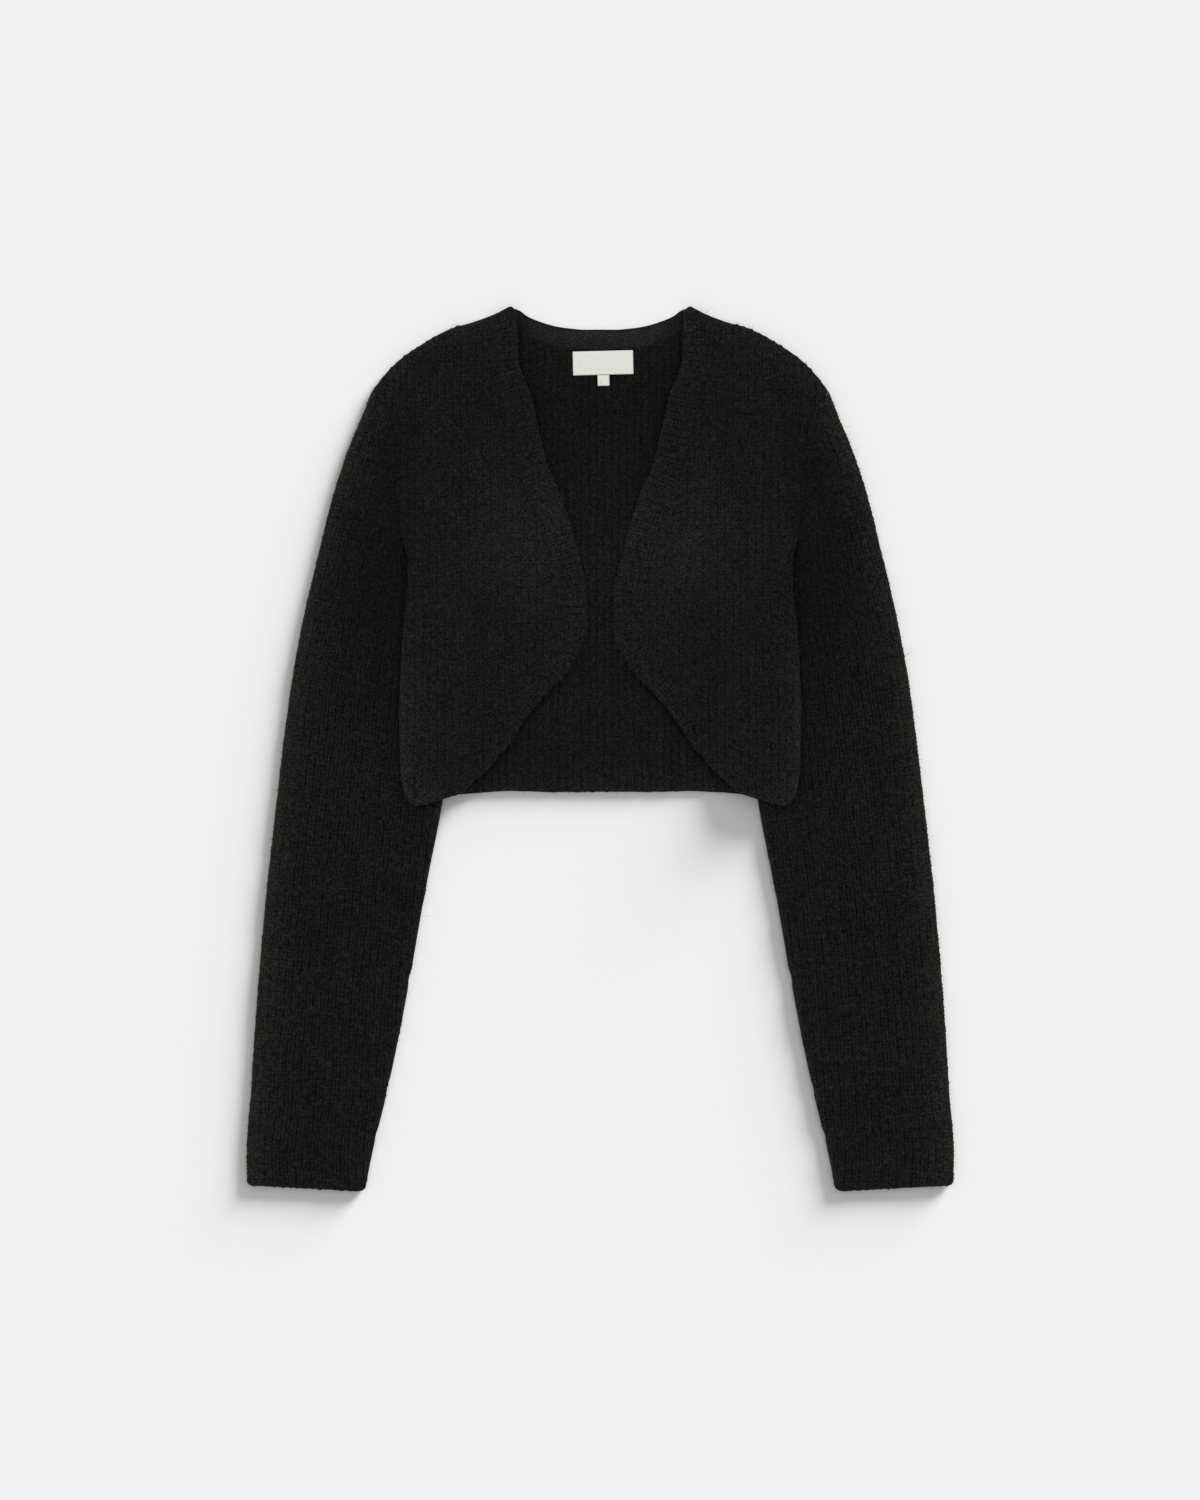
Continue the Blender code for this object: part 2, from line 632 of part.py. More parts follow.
def make_sleeve(name, side, material):
    """A sleeve: a flattened tube, open at both ends, with its ribs along it and a flat underside."""
    shell = Shell(side)
    tops, bottoms, slot_tops, slot_bottoms = [], [], [], []
    plan = sleeve_plan()
    start_line = plan[0]
    end_line = plan[-1]
    for index, line in enumerate(plan):
        run = along(line)
        length = run[-1]
        middle = line[len(line) // 2][None]
        near_end = min(distance_to(middle, start_line)[0], distance_to(middle, end_line)[0])
        ends = float(rounding(near_end, ROUND))
        at = columns(0.0, length, RIB_STEP)
        fold = np.minimum(at, length - at)
        ribs = rib(at) * ends * rounding(fold, SLEEVE_ROUND)
        places = on(line, run, at)
        high = sleeve_top(places, at, length, ends) + ribs
        tops.append(shell.row(np.column_stack([places, high]), at))
        folds = UNDER_ROUND * np.array([0.0, 0.5, 1.0])
        plain = ends_only(folds[-1], length - folds[-1], PLAIN_STEP)
        plain = np.concatenate([folds[:-1], plain, length - folds[-2::-1]])
        fold = np.minimum(plain, length - plain)
        low = (SLEEVE_BASE * 0.5 - FOLD_HALF) * (1.0 - rounding(fold, UNDER_ROUND))
        bottoms.append(shell.row(np.column_stack([on(line, run, plain), low]), plain))
        inner = ends_only(SLOT_MARGIN, length - SLOT_MARGIN, PLAIN_STEP)
        places = on(line, run, inner)
        floor = WALL + 0.0 * inner
        roof = np.maximum(sleeve_top(places, inner, length, ends) - WALL, floor + SLOT_LEAST)
        slot_tops.append(shell.row(np.column_stack([places, roof]), inner))
        slot_bottoms.append(shell.row(np.column_stack([places, floor]), inner))
    shell.skin(tops)
    shell.skin(bottoms)
    shell.rims(tops, bottoms)
    shell.skin(slot_tops)
    shell.skin(slot_bottoms)
    shell.rims(slot_tops, slot_bottoms)
    for end in (0, -1):
        shell.fill(ring(tops[end], bottoms[end]), ring(slot_tops[end], slot_bottoms[end]))
    return shell.build(name, material)


def on(line, run, at):
    """Points of a line at distances along it."""
    return np.column_stack([np.interp(at, run, line[:, k]) for k in (0, 1)])


def ring(top, bottom):
    """A closed ring: out along the top row, back along the bottom row, and to its start again."""
    ids = top[0] + bottom[0][::-1] + top[0][:1]
    reach = top[1][-1] + bottom[1][-1]
    turn = reach + 1.0
    order = list(top[1]) + [turn - value for value in bottom[1][::-1]] + [turn + 1.0]
    return ids, order


def make_plate(name, size, place_at, low, material):
    """A small woven plate with soft edges, turned a little."""
    mesh = bpy.data.meshes.new(name)
    work = bmesh.new()
    bmesh.ops.create_cube(work, size=1.0)
    bmesh.ops.scale(work, vec=[value * MM for value in size], verts=work.verts)
    bmesh.ops.bevel(work, geom=work.edges[:], offset=LABEL_SOFT * MM, segments=1, affect="EDGES")
    work.to_mesh(mesh)
    work.free()
    piece = place(name, mesh, material)
    piece.location = (place_at[0] * MM, place_at[1] * MM, (low + 0.5 * size[2]) * MM)
    piece.rotation_euler = (0.0, 0.0, LABEL_TURN)
    return piece


def make_labels(material):
    """The bare neck label, flat on the back, and its tab, which hangs from its lower edge."""
    low = WALL + RIB_HEIGHT + SEAM_GAP
    make_plate("label", LABEL_SIZE, LABEL_PLACE, low, material)
    down = 0.5 * (LABEL_SIZE[1] + TAB_SIZE[1]) + SEAM_GAP
    tab_place = (
        LABEL_PLACE[0] + TAB_OFFSET * math.cos(LABEL_TURN) + down * math.sin(LABEL_TURN),
        LABEL_PLACE[1] + TAB_OFFSET * math.sin(LABEL_TURN) - down * math.cos(LABEL_TURN))
    make_plate("size_tab", TAB_SIZE, tab_place, low, material)


def main():
    """Builds every piece of the shrug."""
    for old in list(bpy.data.objects):
        bpy.data.objects.remove(old, do_unlink=True)
    make_back("back", finish("back_knit", (0.0105, 0.0098, 0.0088), 0.95))
    make_neck_band("neck_band", finish("neck_band_knit", (0.0155, 0.0145, 0.0140), 0.90))
    for word, side in (("right", -1.0), ("left", 1.0)):
        make_front(f"front_{word}", side, finish(f"front_{word}_knit", (0.0125, 0.0115, 0.0100), 0.95))
        make_band(f"band_{word}", side, finish(f"band_{word}_knit", (0.0130, 0.0120, 0.0105), 0.95))
        make_sleeve(f"sleeve_{word}", side, finish(f"sleeve_{word}_knit", (0.0115, 0.0105, 0.0092), 0.95))
    make_labels(finish("label_weave", (0.730, 0.730, 0.670), 0.80))


main()
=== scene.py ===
"""Looks of a knitted shrug that lies flat and face up on a pale floor.

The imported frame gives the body, the nodes and the box. Each cloth node is replaced by a finer shell
of the same form, which carries the ribs, the stitches and the creases, and loose fibres of the
brushed yarn grow from it. Lengths are in millimetres and angles in radians; what builds a mesh turns
them into metres. A place on the shrug is (out, up): how far out from the middle line it is, and how
far up the shrug. An array of places has these two on its last axis. The wearer's right is side -1 and
the left is side +1.
"""

import json
import logging
import math
from collections.abc import Callable, Iterable
from dataclasses import dataclass, field
from enum import Enum

import bmesh
import bpy
import numpy as np
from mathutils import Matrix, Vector

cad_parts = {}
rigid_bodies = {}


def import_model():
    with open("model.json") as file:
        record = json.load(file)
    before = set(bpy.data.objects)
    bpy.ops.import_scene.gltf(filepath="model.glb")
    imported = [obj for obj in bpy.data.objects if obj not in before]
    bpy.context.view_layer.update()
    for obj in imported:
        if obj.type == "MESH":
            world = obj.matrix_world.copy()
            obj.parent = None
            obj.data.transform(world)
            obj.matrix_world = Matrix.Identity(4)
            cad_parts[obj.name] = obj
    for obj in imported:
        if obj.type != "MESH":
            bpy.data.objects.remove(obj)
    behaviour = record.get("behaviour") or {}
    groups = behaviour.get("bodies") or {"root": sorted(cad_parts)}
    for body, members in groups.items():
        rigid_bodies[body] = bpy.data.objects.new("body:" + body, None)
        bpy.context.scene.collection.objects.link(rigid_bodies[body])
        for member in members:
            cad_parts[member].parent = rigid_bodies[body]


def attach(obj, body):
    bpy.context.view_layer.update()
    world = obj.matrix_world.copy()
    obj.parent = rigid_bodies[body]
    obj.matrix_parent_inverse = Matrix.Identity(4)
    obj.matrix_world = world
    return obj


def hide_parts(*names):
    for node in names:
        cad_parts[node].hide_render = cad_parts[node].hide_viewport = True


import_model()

LOG = logging.getLogger("shrug")
BODY = "root"
MM = 0.001
CHUNK = 4000               # places whose distance to a line is worked out at a time

Array = np.ndarray
Curve = Callable[[Array], Array]
Pair = tuple[float, float]
Triple = tuple[float, float, float]
Arrays = tuple[Array, Array, Array]
Material = bpy.types.Material
Object = bpy.types.Object
Socket = bpy.types.NodeSocket


class Side(Enum):
    """A half of the shrug: the word in its pieces' names, and its sign along X."""
    RIGHT = ("right", -1.0)
    LEFT = ("left", 1.0)

    @property
    def word(self) -> str:
        """The word that ends the names of this half's pieces."""
        return self.value[0]

    @property
    def sign(self) -> float:
        """-1 for the wearer's right, +1 for the left."""
        return self.value[1]


# ---- Curves ----

def monotone(knots: Array, values: Array, at: Array) -> Array:
    """Smooth curve through knots that never swings past them.

    Cubic Hermite pieces; a knot's slope is the harmonic mean of its neighbours', or 0 at a turn.

    Args:
        knots: rising places of the knots.
        values: the curve's value at each knot.
        at: where to read the curve; places outside the knots read the nearer end.

    Returns:
        The curve's values, shaped like `at`.
    """
    at = np.clip(np.asarray(at, dtype=float), knots[0], knots[-1])
    width = np.diff(knots)
    slope = np.diff(values) / width
    product = slope[:-1] * slope[1:]
    total = slope[:-1] + slope[1:]
    turns = product <= 0.0
    inner = np.where(turns, 0.0, 2.0 * product / np.where(turns, 1.0, total))
    tangent = np.concatenate([slope[:1], inner, slope[-1:]])
    cell = np.clip(np.searchsorted(knots, at, side="right") - 1, 0, len(width) - 1)
    t = (at - knots[cell]) / width[cell]
    lead = tangent[cell] * width[cell]
    trail = tangent[cell + 1] * width[cell]
    return ((2 * t**3 - 3 * t**2 + 1) * values[cell] + (t**3 - 2 * t**2 + t) * lead
            + (3 * t**2 - 2 * t**3) * values[cell + 1] + (t**3 - t**2) * trail)


def soft_step(value: Array) -> Array:
    """0 up to 0, 1 from 1 on, and 3t^2 - 2t^3 between."""
    t = np.clip(value, 0.0, 1.0)
    return t * t * (3.0 - 2.0 * t)


def ramp(value: Array, none: float, full: float) -> Array:
    """0 at one value and before it, 1 at the other and beyond, and a soft step between."""
    return soft_step((value - none) / (full - none))


def quarter_round(distance: Array, radius: float) -> Array:
    """Quarter circle: 0 at an edge, 1 a radius in from it."""
    t = np.clip(np.asarray(distance) / radius, 0.0, 1.0)
    return np.sqrt(1.0 - (1.0 - t) ** 2)


def bell(distance: Array, width: float) -> Array:
    """Gaussian bell: 1 at distance 0, 0.37 a width away."""
    return np.exp(-((distance / width) ** 2))


def fading(distance: Array, reach: float) -> Array:
    """Exponential fall: 1 at distance 0, 0.37 a reach away."""
    return np.exp(-distance / reach)


def distance_to(places: Array, line: Array) -> Array:
    """Shortest distance in plan from places to a line of points.

    Args:
        places: where.
        line: (n, 2) array of points.

    Returns:
        The distances, without the last axis of `places`.
    """
    flat = places.reshape(-1, 2)
    start = line[:-1]
    run = line[1:] - start
    square = (run * run).sum(1)
    found = []
    for first in range(0, len(flat), CHUNK):
        away = flat[first:first + CHUNK, None] - start
        share = np.clip((away * run).sum(2) / square, 0.0, 1.0)
        foot = away - share[..., None] * run
        found.append(np.sqrt((foot * foot).sum(2).min(1)))
    return np.concatenate(found).reshape(places.shape[:-1])


def run_along(line: Array) -> Array:
    """Distance along lines of points, (..., n, 2), from each line's start to its points."""
    steps = np.sqrt((np.diff(line, axis=-2) ** 2).sum(-1))
    return np.concatenate([np.zeros((*steps.shape[:-1], 1)), np.cumsum(steps, axis=-1)], axis=-1)


def spread(start: float, end: float, step: float) -> Array:
    """Evenly spaced values from start to end, about a step apart."""
    return np.linspace(start, end, max(2, round(abs(end - start) / step) + 1))


def plan_area(places: Array) -> float:
    """Area of a grid of places in square metres: half the cross products of its cells' diagonals."""
    one = places[1:, 1:, :2] - places[:-1, :-1, :2]
    two = places[1:, :-1, :2] - places[:-1, 1:, :2]
    return float(np.abs(one[..., 0] * two[..., 1] - one[..., 1] * two[..., 0]).sum()) * 0.5 * MM * MM


@dataclass(frozen=True)
class Edge:
    """An edge of a piece: a smooth curve through a few (out, up) points."""
    points: tuple[Pair, ...]

    def out_at(self, up: Array) -> Array:
        """How far out the edge is at a height, for an edge that runs up or down."""
        knots = np.array(sorted(self.points, key=lambda point: point[1]))
        return monotone(knots[:, 1], knots[:, 0], up)

    def up_at(self, out: Array) -> Array:
        """How far up the edge is at a distance from the middle, for an edge that runs across."""
        knots = np.array(sorted(self.points))
        return monotone(knots[:, 0], knots[:, 1], out)

    def down_line(self, step: float = 2.5) -> Array:
        """Close points of an edge that runs down, from its first point to its last."""
        ups = spread(self.points[0][1], self.points[-1][1], step)
        return np.column_stack([self.out_at(ups), ups])

    def out_line(self, step: float = 2.5) -> Array:
        """Close points of an edge that runs outwards, from its first point to its last."""
        outs = spread(self.points[0][0], self.points[-1][0], step)
        return np.column_stack([outs, self.up_at(outs)])


# The outline of one half, as it lies
SHOULDER = Edge((
    (68.7, 359.4), (73.6, 363.2), (78.5, 361.1), (98.2, 351.4), (117.9, 346.9), (132.6, 340.5),
    (147.4, 331.8), (162.2, 321.7), (172.0, 312.8), (181.8, 301.3), (187.4, 293.4)))
BODY_SIDE = Edge((
    (187.4, 293.4), (183.8, 287.8), (172.8, 273.9), (169.5, 253.4), (167.1, 220.6),
    (165.5, 187.8), (160.5, 166.0), (157.2, 154.0), (158.1, 127.9), (160.5, 100.9),
    (163.0, 73.0), (164.6, 20.0), (163.0, -22.0), (160.0, -37.0), (156.8, -43.4), (151.6, -46.8)))
OPENING = Edge((
    (68.7, 359.4), (67.9, 335.4), (67.0, 317.3), (64.0, 307.0), (57.6, 291.9), (50.6, 261.6),
    (43.3, 232.9), (32.6, 208.3), (21.9, 174.7), (14.6, 146.0), (11.4, 125.0), (10.9, 103.3),
    (12.9, 89.4), (19.5, 76.3), (29.3, 60.5), (44.1, 45.9), (61.5, 25.0), (79.3, -2.5),
    (93.3, -18.0), (103.9, -27.1), (110.5, -34.0)))
FRONT_HEM = Edge((
    (110.5, -34.0), (118.0, -37.6), (130.2, -41.6), (143.0, -45.4), (151.6, -46.8)))
BACK_HEM = Edge((
    (0.0, -35.1), (36.0, -35.2), (60.0, -34.8), (74.0, -34.4), (84.0, -34.8), (97.0, -35.6),
    (108.0, -34.9), (118.0, -36.7), (130.0, -39.8), (143.0, -43.2), (151.6, -45.4)))
NECK = Edge((
    (0.0, 344.8), (12.9, 344.7), (24.0, 345.6), (36.0, 347.3), (48.0, 350.7), (60.0, 355.7),
    (66.2, 360.2), (73.0, 362.8)))
SLEEVE_OUTER = Edge((
    (187.8, 293.4), (194.2, 276.3), (206.5, 246.8), (219.4, 207.5), (229.3, 168.1),
    (243.2, 109.1), (253.9, 50.0), (266.2, -48.4), (276.8, -146.8), (285.0, -255.0),
    (286.4, -280.0), (290.2, -330.0), (289.9, -358.4)))
SLEEVE_INNER = Edge((
    (157.6, 154.0), (146.6, 138.0), (136.7, 118.0), (128.5, 92.0), (123.6, 56.6), (122.8, 23.8),
    (125.8, -13.1), (130.4, -48.0), (143.6, -115.6), (157.4, -194.3), (173.1, -273.0),
    (188.9, -340.0), (193.2, -363.4)))
# Rows across a sleeve: how far up their outer and their inner ends are
SLEEVE_RUNGS = Edge((
    (293.4, 154.0), (262.0, 151.0), (233.7, 139.0), (200.0, 117.0), (167.3, 92.0), (89.4, 35.3),
    (3.3, -27.1), (-86.9, -100.9), (-222.2, -225.5), (-358.4, -363.4)))
SLEEVE_TOP_UP, ARMPIT_UP = SLEEVE_RUNGS.points[0]
CUFF_UP = SLEEVE_RUNGS.points[-1][0]
OPENING_TOP_UP = SHOULDER.points[0][1]
BODY_TOP_UP = SHOULDER.points[1][1]
SHOWN_IN = 2.0             # a sleeve counts as shown from this far inside the body's edge

# Lines where body pieces are sewn together, and where their edges lie free
NECK_CORNER = 3            # close points of the shoulder line that round the neck's free corner
SHOULDER_SEAM = SHOULDER.out_line()[NECK_CORNER:]
SIDE_SEAM = BODY_SIDE.down_line()
SEWN = np.vstack([SHOULDER_SEAM[:-1], SIDE_SEAM])
FREE = np.vstack([OPENING.down_line()[:-1], FRONT_HEM.out_line()])
HEM_LINE = BACK_HEM.out_line()
NECK_LINE = NECK.out_line()


def halved(places: Array) -> Array:
    """The same places with both halves of the shrug folded onto the left one."""
    return np.stack([np.abs(places[..., 0]), places[..., 1]], axis=-1)


def inside_opening(places: Array) -> Array:
    """True where the back shows between the fronts."""
    return np.abs(places[..., 0]) < OPENING.out_at(places[..., 1])


def beside_body(places: Array) -> Array:
    """True where a sleeve isn't covered by the body."""
    below = places[..., 1] < FRONT_HEM.up_at(places[..., 0])
    return below | (places[..., 0] > BODY_SIDE.out_at(places[..., 1]) - SHOWN_IN)


# ---- How the cloth lies ----

@dataclass(frozen=True)
class Crease:
    """A soft trough between two places, bowed to one side; with a negative depth, a ridge.

    Its line leaves the straight one by a parabola. Its depth falls off as a bell across it, and
    along it as a power of a sine that is 0 at both ends.
    """
    start: Pair
    end: Pair
    bow: float
    depth: float
    width: float
    fade: float = 0.7

    def height(self, places: Array) -> Array:
        """What the crease adds to the cloth's height.

        Args:
            places: where.

        Returns:
            The height at each place.
        """
        start = np.array(self.start)
        run = np.array(self.end) - start
        length = math.hypot(*run)
        ahead = run / length
        t = ((places - start) @ ahead) / length
        off = (places - start) @ np.array([-ahead[1], ahead[0]]) - self.bow * 4.0 * t * (1.0 - t)
        fade = np.sin(math.pi * np.clip(t, 0.0, 1.0)) ** self.fade
        return -self.depth * fade * bell(off, self.width)


SLEEVE_CREASES = (
    Crease((148.0, -134.0), (194.0, -106.0), 3.0, 2.8, 6.0),
    Crease((152.0, -146.0), (236.0, -152.0), 9.0, 2.0, 6.5),
    Crease((250.0, -62.0), (243.0, -178.0), -5.0, 1.8, 8.0),
    Crease((262.0, -178.0), (226.0, -146.0), 3.0, 1.4, 6.0),
    Crease((168.0, -146.0), (214.0, -132.0), 4.0, -1.2, 7.0),
    Crease((236.0, -40.0), (230.0, -120.0), 4.0, -1.1, 9.0),
    Crease((198.0, 96.0), (206.0, 8.0), 5.0, 1.1, 9.0),
    Crease((216.0, 214.0), (196.0, 120.0), -6.0, 1.2, 10.0),
    Crease((181.0, 262.0), (176.0, 190.0), -2.0, 1.6, 7.0),
    Crease((176.0, -212.0), (226.0, -226.0), -4.0, 0.9, 8.0),
    Crease((258.0, -262.0), (206.0, -300.0), 5.0, 0.8, 9.0),
    Crease((186.0, -302.0), (232.0, -322.0), 3.0, 0.8, 7.0))
FRONT_CREASES = (
    Crease((104.0, 300.0), (112.0, 176.0), 4.0, 0.7, 9.0),
    Crease((96.0, 150.0), (108.0, 20.0), -5.0, 0.7, 11.0),
    Crease((128.0, 286.0), (131.0, 182.0), 0.0, -0.8, 5.0),
    Crease((149.0, 132.0), (154.0, 0.0), 2.0, -0.7, 6.0),
    Crease((60.0, 176.0), (40.0, 96.0), 4.0, -0.5, 12.0))
BACK_CREASES = (
    Crease((12.0, 90.0), (14.0, -36.0), 1.0, 0.5, 5.0),
    Crease((32.0, 42.0), (38.0, -36.0), -1.5, 0.5, 5.5),
    Crease((54.0, 34.0), (62.0, -30.0), 2.0, 0.35, 6.0))


def creased(creases: Iterable[Crease], places: Array) -> Array:
    """The sum of what several creases add to the height at places."""
    return sum(crease.height(places) for crease in creases)


WAVES = 9                  # plane waves that add up to the cloth's slow unevenness
WAVE_LENGTHS = (34.0, 90.0)
WAVE_SHARE = 0.6           # brings their sum to about the height that is asked for
TUFT_NET = 256             # random values along each side of the tufts' net


def undulation(places: Array, seed: int, height: float) -> Array:
    """Slow unevenness of cloth that was laid down by hand.

    The sum of plane waves, in directions, lengths and phases drawn from the seed.

    Args:
        places: where.
        seed: chooses the waves.
        height: about the greatest height of a swell.

    Returns:
        The height that it adds at each place.
    """
    rng = np.random.default_rng(seed)
    turn = rng.uniform(0.0, math.pi, WAVES)
    length = rng.uniform(*WAVE_LENGTHS, WAVES)
    phase = rng.uniform(0.0, math.tau, WAVES)
    ahead = np.stack([np.cos(turn), np.sin(turn)]) * (math.tau / length)
    return WAVE_SHARE * height * np.sin(places @ ahead + phase).sum(-1) / math.sqrt(WAVES)


def tufts(places: Array, seed: int, cell: float = 2.3) -> Array:
    """Small lumps of brushed yarn, from -1 to 1: random values on a square net, smoothly joined.

    Args:
        places: where.
        seed: chooses the values.
        cell: width of the net's cells.

    Returns:
        The value at each place.
    """
    values = np.random.default_rng(seed).uniform(-1.0, 1.0, (TUFT_NET, TUFT_NET))
    at = places / cell
    low = np.floor(at).astype(int)
    share = soft_step(at - low)
    near, far = low % TUFT_NET, (low + 1) % TUFT_NET
    left = values[near[..., 0], near[..., 1]]
    left = left + (values[near[..., 0], far[..., 1]] - left) * share[..., 1]
    right = values[far[..., 0], near[..., 1]]
    right = right + (values[far[..., 0], far[..., 1]] - right) * share[..., 1]
    return left + (right - left) * share[..., 0]


@dataclass(frozen=True)
class Window:
    """Heights between which an effect holds: all of it between the middle two, none outside."""
    low: float
    full_low: float
    full_high: float
    high: float

    def at(self, places: Array) -> Array:
        """1 between the middle heights, 0 outside the outer ones, and soft steps between."""
        up = places[..., 1]
        return ramp(up, self.low, self.full_low) * ramp(up, self.high, self.full_high)


@dataclass(frozen=True)
class Patch:
    """A soft round patch of the nap: how much it is at its fullest, its middle and its reach."""
    amount: float
    middle: Pair
    reach: float

    def at(self, places: Array) -> Array:
        """A soft round patch of the painted shading: how much it is at its fullest, its middle and its reach.
        """
        away = np.linalg.norm(places - np.array(self.middle), axis=-1)
        return self.amount * bell(away, self.reach)


@dataclass(frozen=True)
class PaintedShading:
    """Painted light and shade on the brushed surface: 1 on plain cloth, more where a highlight is painted,
    less where shade is painted.
    """
    fold: float = 0.85  # painted highlight added at a sleeve's outer fold
    fold_reach: float = 13.0  # how far in from the fold that has faded
    edge: float = 0.38  # painted highlight added at the back's hem and at a sleeve's inner fold
    rim: float = 0.22  # painted highlight added at a front's free edge, and in a narrow line just inside its side
    rim_in: float = 3.0  # how far in that line is
    edge_reach: float = 5.0  # how far in that has faded
    side: float = 0.42  # painted highlight added along a front's side
    side_reach: float = 16.0  # how far in that has faded
    side_up: float = 150.0  # and how far up
    lap: Patch = Patch(0.38, (58.0, 170.0), 54.0)  # added over a broad soft patch of the front
    beside: float = 0.26  # painted shadow taken off the sleeve beside the body
    beside_reach: float = 44.0  # how far out from the body
    beside_levels: Window = Window(-60.0, 80.0, 160.0, 300.0)  # heights at which it is
    neck: float = 0.24  # painted shade taken off the back below the neck
    neck_levels: Pair = (130.0, 290.0)  # heights between which that sets in
    nape: float = 0.30  # added to the back close below the neck band
    nape_reach: float = 24.0  # how far down from the neck's edge
    corner: float = 0.22  # painted shade taken off the back beside the fronts' edges, near the neck
    corner_reach: float = 12.0  # how far from an edge
    front_pit: Patch = Patch(0.08, (172.0, 132.0), 40.0)  # painted shade taken off the front at the underarm
    sleeve_pit: Patch = Patch(0.30, (172.0, 132.0), 40.0)  # painted shade taken off the sleeve there
    dip: Patch = Patch(0.12, (86.0, 283.0), 15.0)  # painted shade taken off it beside the band, below the shoulder
    fold_in: float = 0.22  # painted shade taken off the front outside its soft fold beside the armhole
    fold_line: Edge = Edge(((148.0, 275.0), (153.0, 188.0), (157.5, 140.0)))  # that fold
    fold_width: float = 9.0  # how soft it is
    fold_levels: Window = Window(112.0, 150.0, 250.0, 310.0)  # heights at which it is
    foot: float = 0.45  # painted highlight added to the back close beside the fronts' edges
    foot_reach: float = 4.5  # how far from an edge
    foot_levels: Window = Window(40.0, 90.0, 170.0, 290.0)  # heights at which it is
    under: float = 0.34  # painted shadow taken off the back under the fronts' rising lower edges
    under_reach: float = 7.0  # how far from an edge
    under_levels: Window = Window(-60.0, -45.0, -5.0, 70.0)  # heights at which it is
    meet: Patch = Patch(0.15, (0.0, 154.0), 27.0)  # added to the back between the fronts' closest points
    shoulder: float = 0.5  # painted highlight added along the shoulder's outer part
    shoulder_reach: float = 9.0  # how far down from the shoulder
    shoulder_out: float = 150.0  # how far out it is full
    valley: float = 0.10  # share lost in the knit's valleys, painted shade
    crease: float = 0.07  # share lost for each millimetre of a crease's depth, painted shade
    back_crease: float = 0.22  # the same painted shade on the back, whose creases are shallow

    def with_valley_shade(self, relief: Array, painted_shading: Array) -> Array:
        """The painted light and shade, less the painted shade in the knit's valleys."""
        return painted_shading * (1.0 - self.valley * (1.0 - np.minimum(relief, 1.0)))

    def front(self, places: Array) -> Array:
        """The painted light and shade of a front and its band: 1, with all that is added and taken off there.

        Args:
            places: where.

        Returns:
            The painted light and shade at each place.
        """
        free = fading(distance_to(places, FREE), self.edge_reach)
        inward = distance_to(places, SIDE_SEAM)
        side = self.side * fading(inward, self.side_reach)
        side = side + self.rim * bell(inward - self.rim_in, self.rim_in)
        side = side * ramp(places[..., 1], self.side_up, 0.0)
        top = self.shoulder * fading(distance_to(places, SHOULDER_SEAM), self.shoulder_reach)
        top = top * soft_step(places[..., 0] / self.shoulder_out)
        beyond = (places[..., 0] - self.fold_line.out_at(places[..., 1])) / self.fold_width
        left = (1.0 - self.front_pit.at(places)) * (1.0 - self.dip.at(places))
        left = left * (1.0 - self.fold_in * soft_step(beyond + 0.5) * self.fold_levels.at(places))
        painted_shading = (1.0 + self.rim * free + side + self.lap.at(places) + top) * left
        return painted_shading * (1.0 + self.crease * creased(FRONT_CREASES, places))

    def back(self, places: Array) -> Array:
        """The painted light and shade of the back's inner side: 1, with all that is added and taken off
        there.

        Args:
            places: where.

        Returns:
            The painted light and shade at each place.
        """
        half = halved(places)
        top = ramp(half[..., 1], *self.neck_levels)
        corner = bell(half[..., 0] - OPENING.out_at(half[..., 1]), self.corner_reach)
        free = distance_to(half, FREE)
        under = bell(free, self.under_reach) * self.under_levels.at(half)
        foot = self.foot * bell(free, self.foot_reach) * self.foot_levels.at(half)
        hem = self.edge * fading(distance_to(half, HEM_LINE), self.edge_reach)
        nape = self.nape * bell(distance_to(half, NECK_LINE), self.nape_reach)
        painted_shading = 1.0 - self.neck * top - self.corner * corner * top - self.under * under
        painted_shading = painted_shading + hem + foot + nape + self.meet.at(half)
        return painted_shading * (1.0 + self.back_crease * creased(BACK_CREASES, half))

    def sleeve(self, places: Array, across: Array) -> Array:
        """The painted light and shade of a sleeve's upper face: 1, with all that is added and taken off
        there.

        Args:
            places: a grid of places.
            across: how far each is from the outer fold, along its row.

        Returns:
            The painted light and shade at each place.
        """
        outer = self.fold * fading(across, self.fold_reach)
        inner = self.edge * fading(across[:, -1:] - across, self.edge_reach)
        near = bell(distance_to(places, SIDE_SEAM), self.beside_reach)
        painted_shading = (1.0 + outer + inner) * (1.0 - self.beside * near * self.beside_levels.at(places))
        painted_shading = painted_shading * (1.0 - self.sleeve_pit.at(places))
        return painted_shading * (1.0 + self.crease * creased(SLEEVE_CREASES, places))


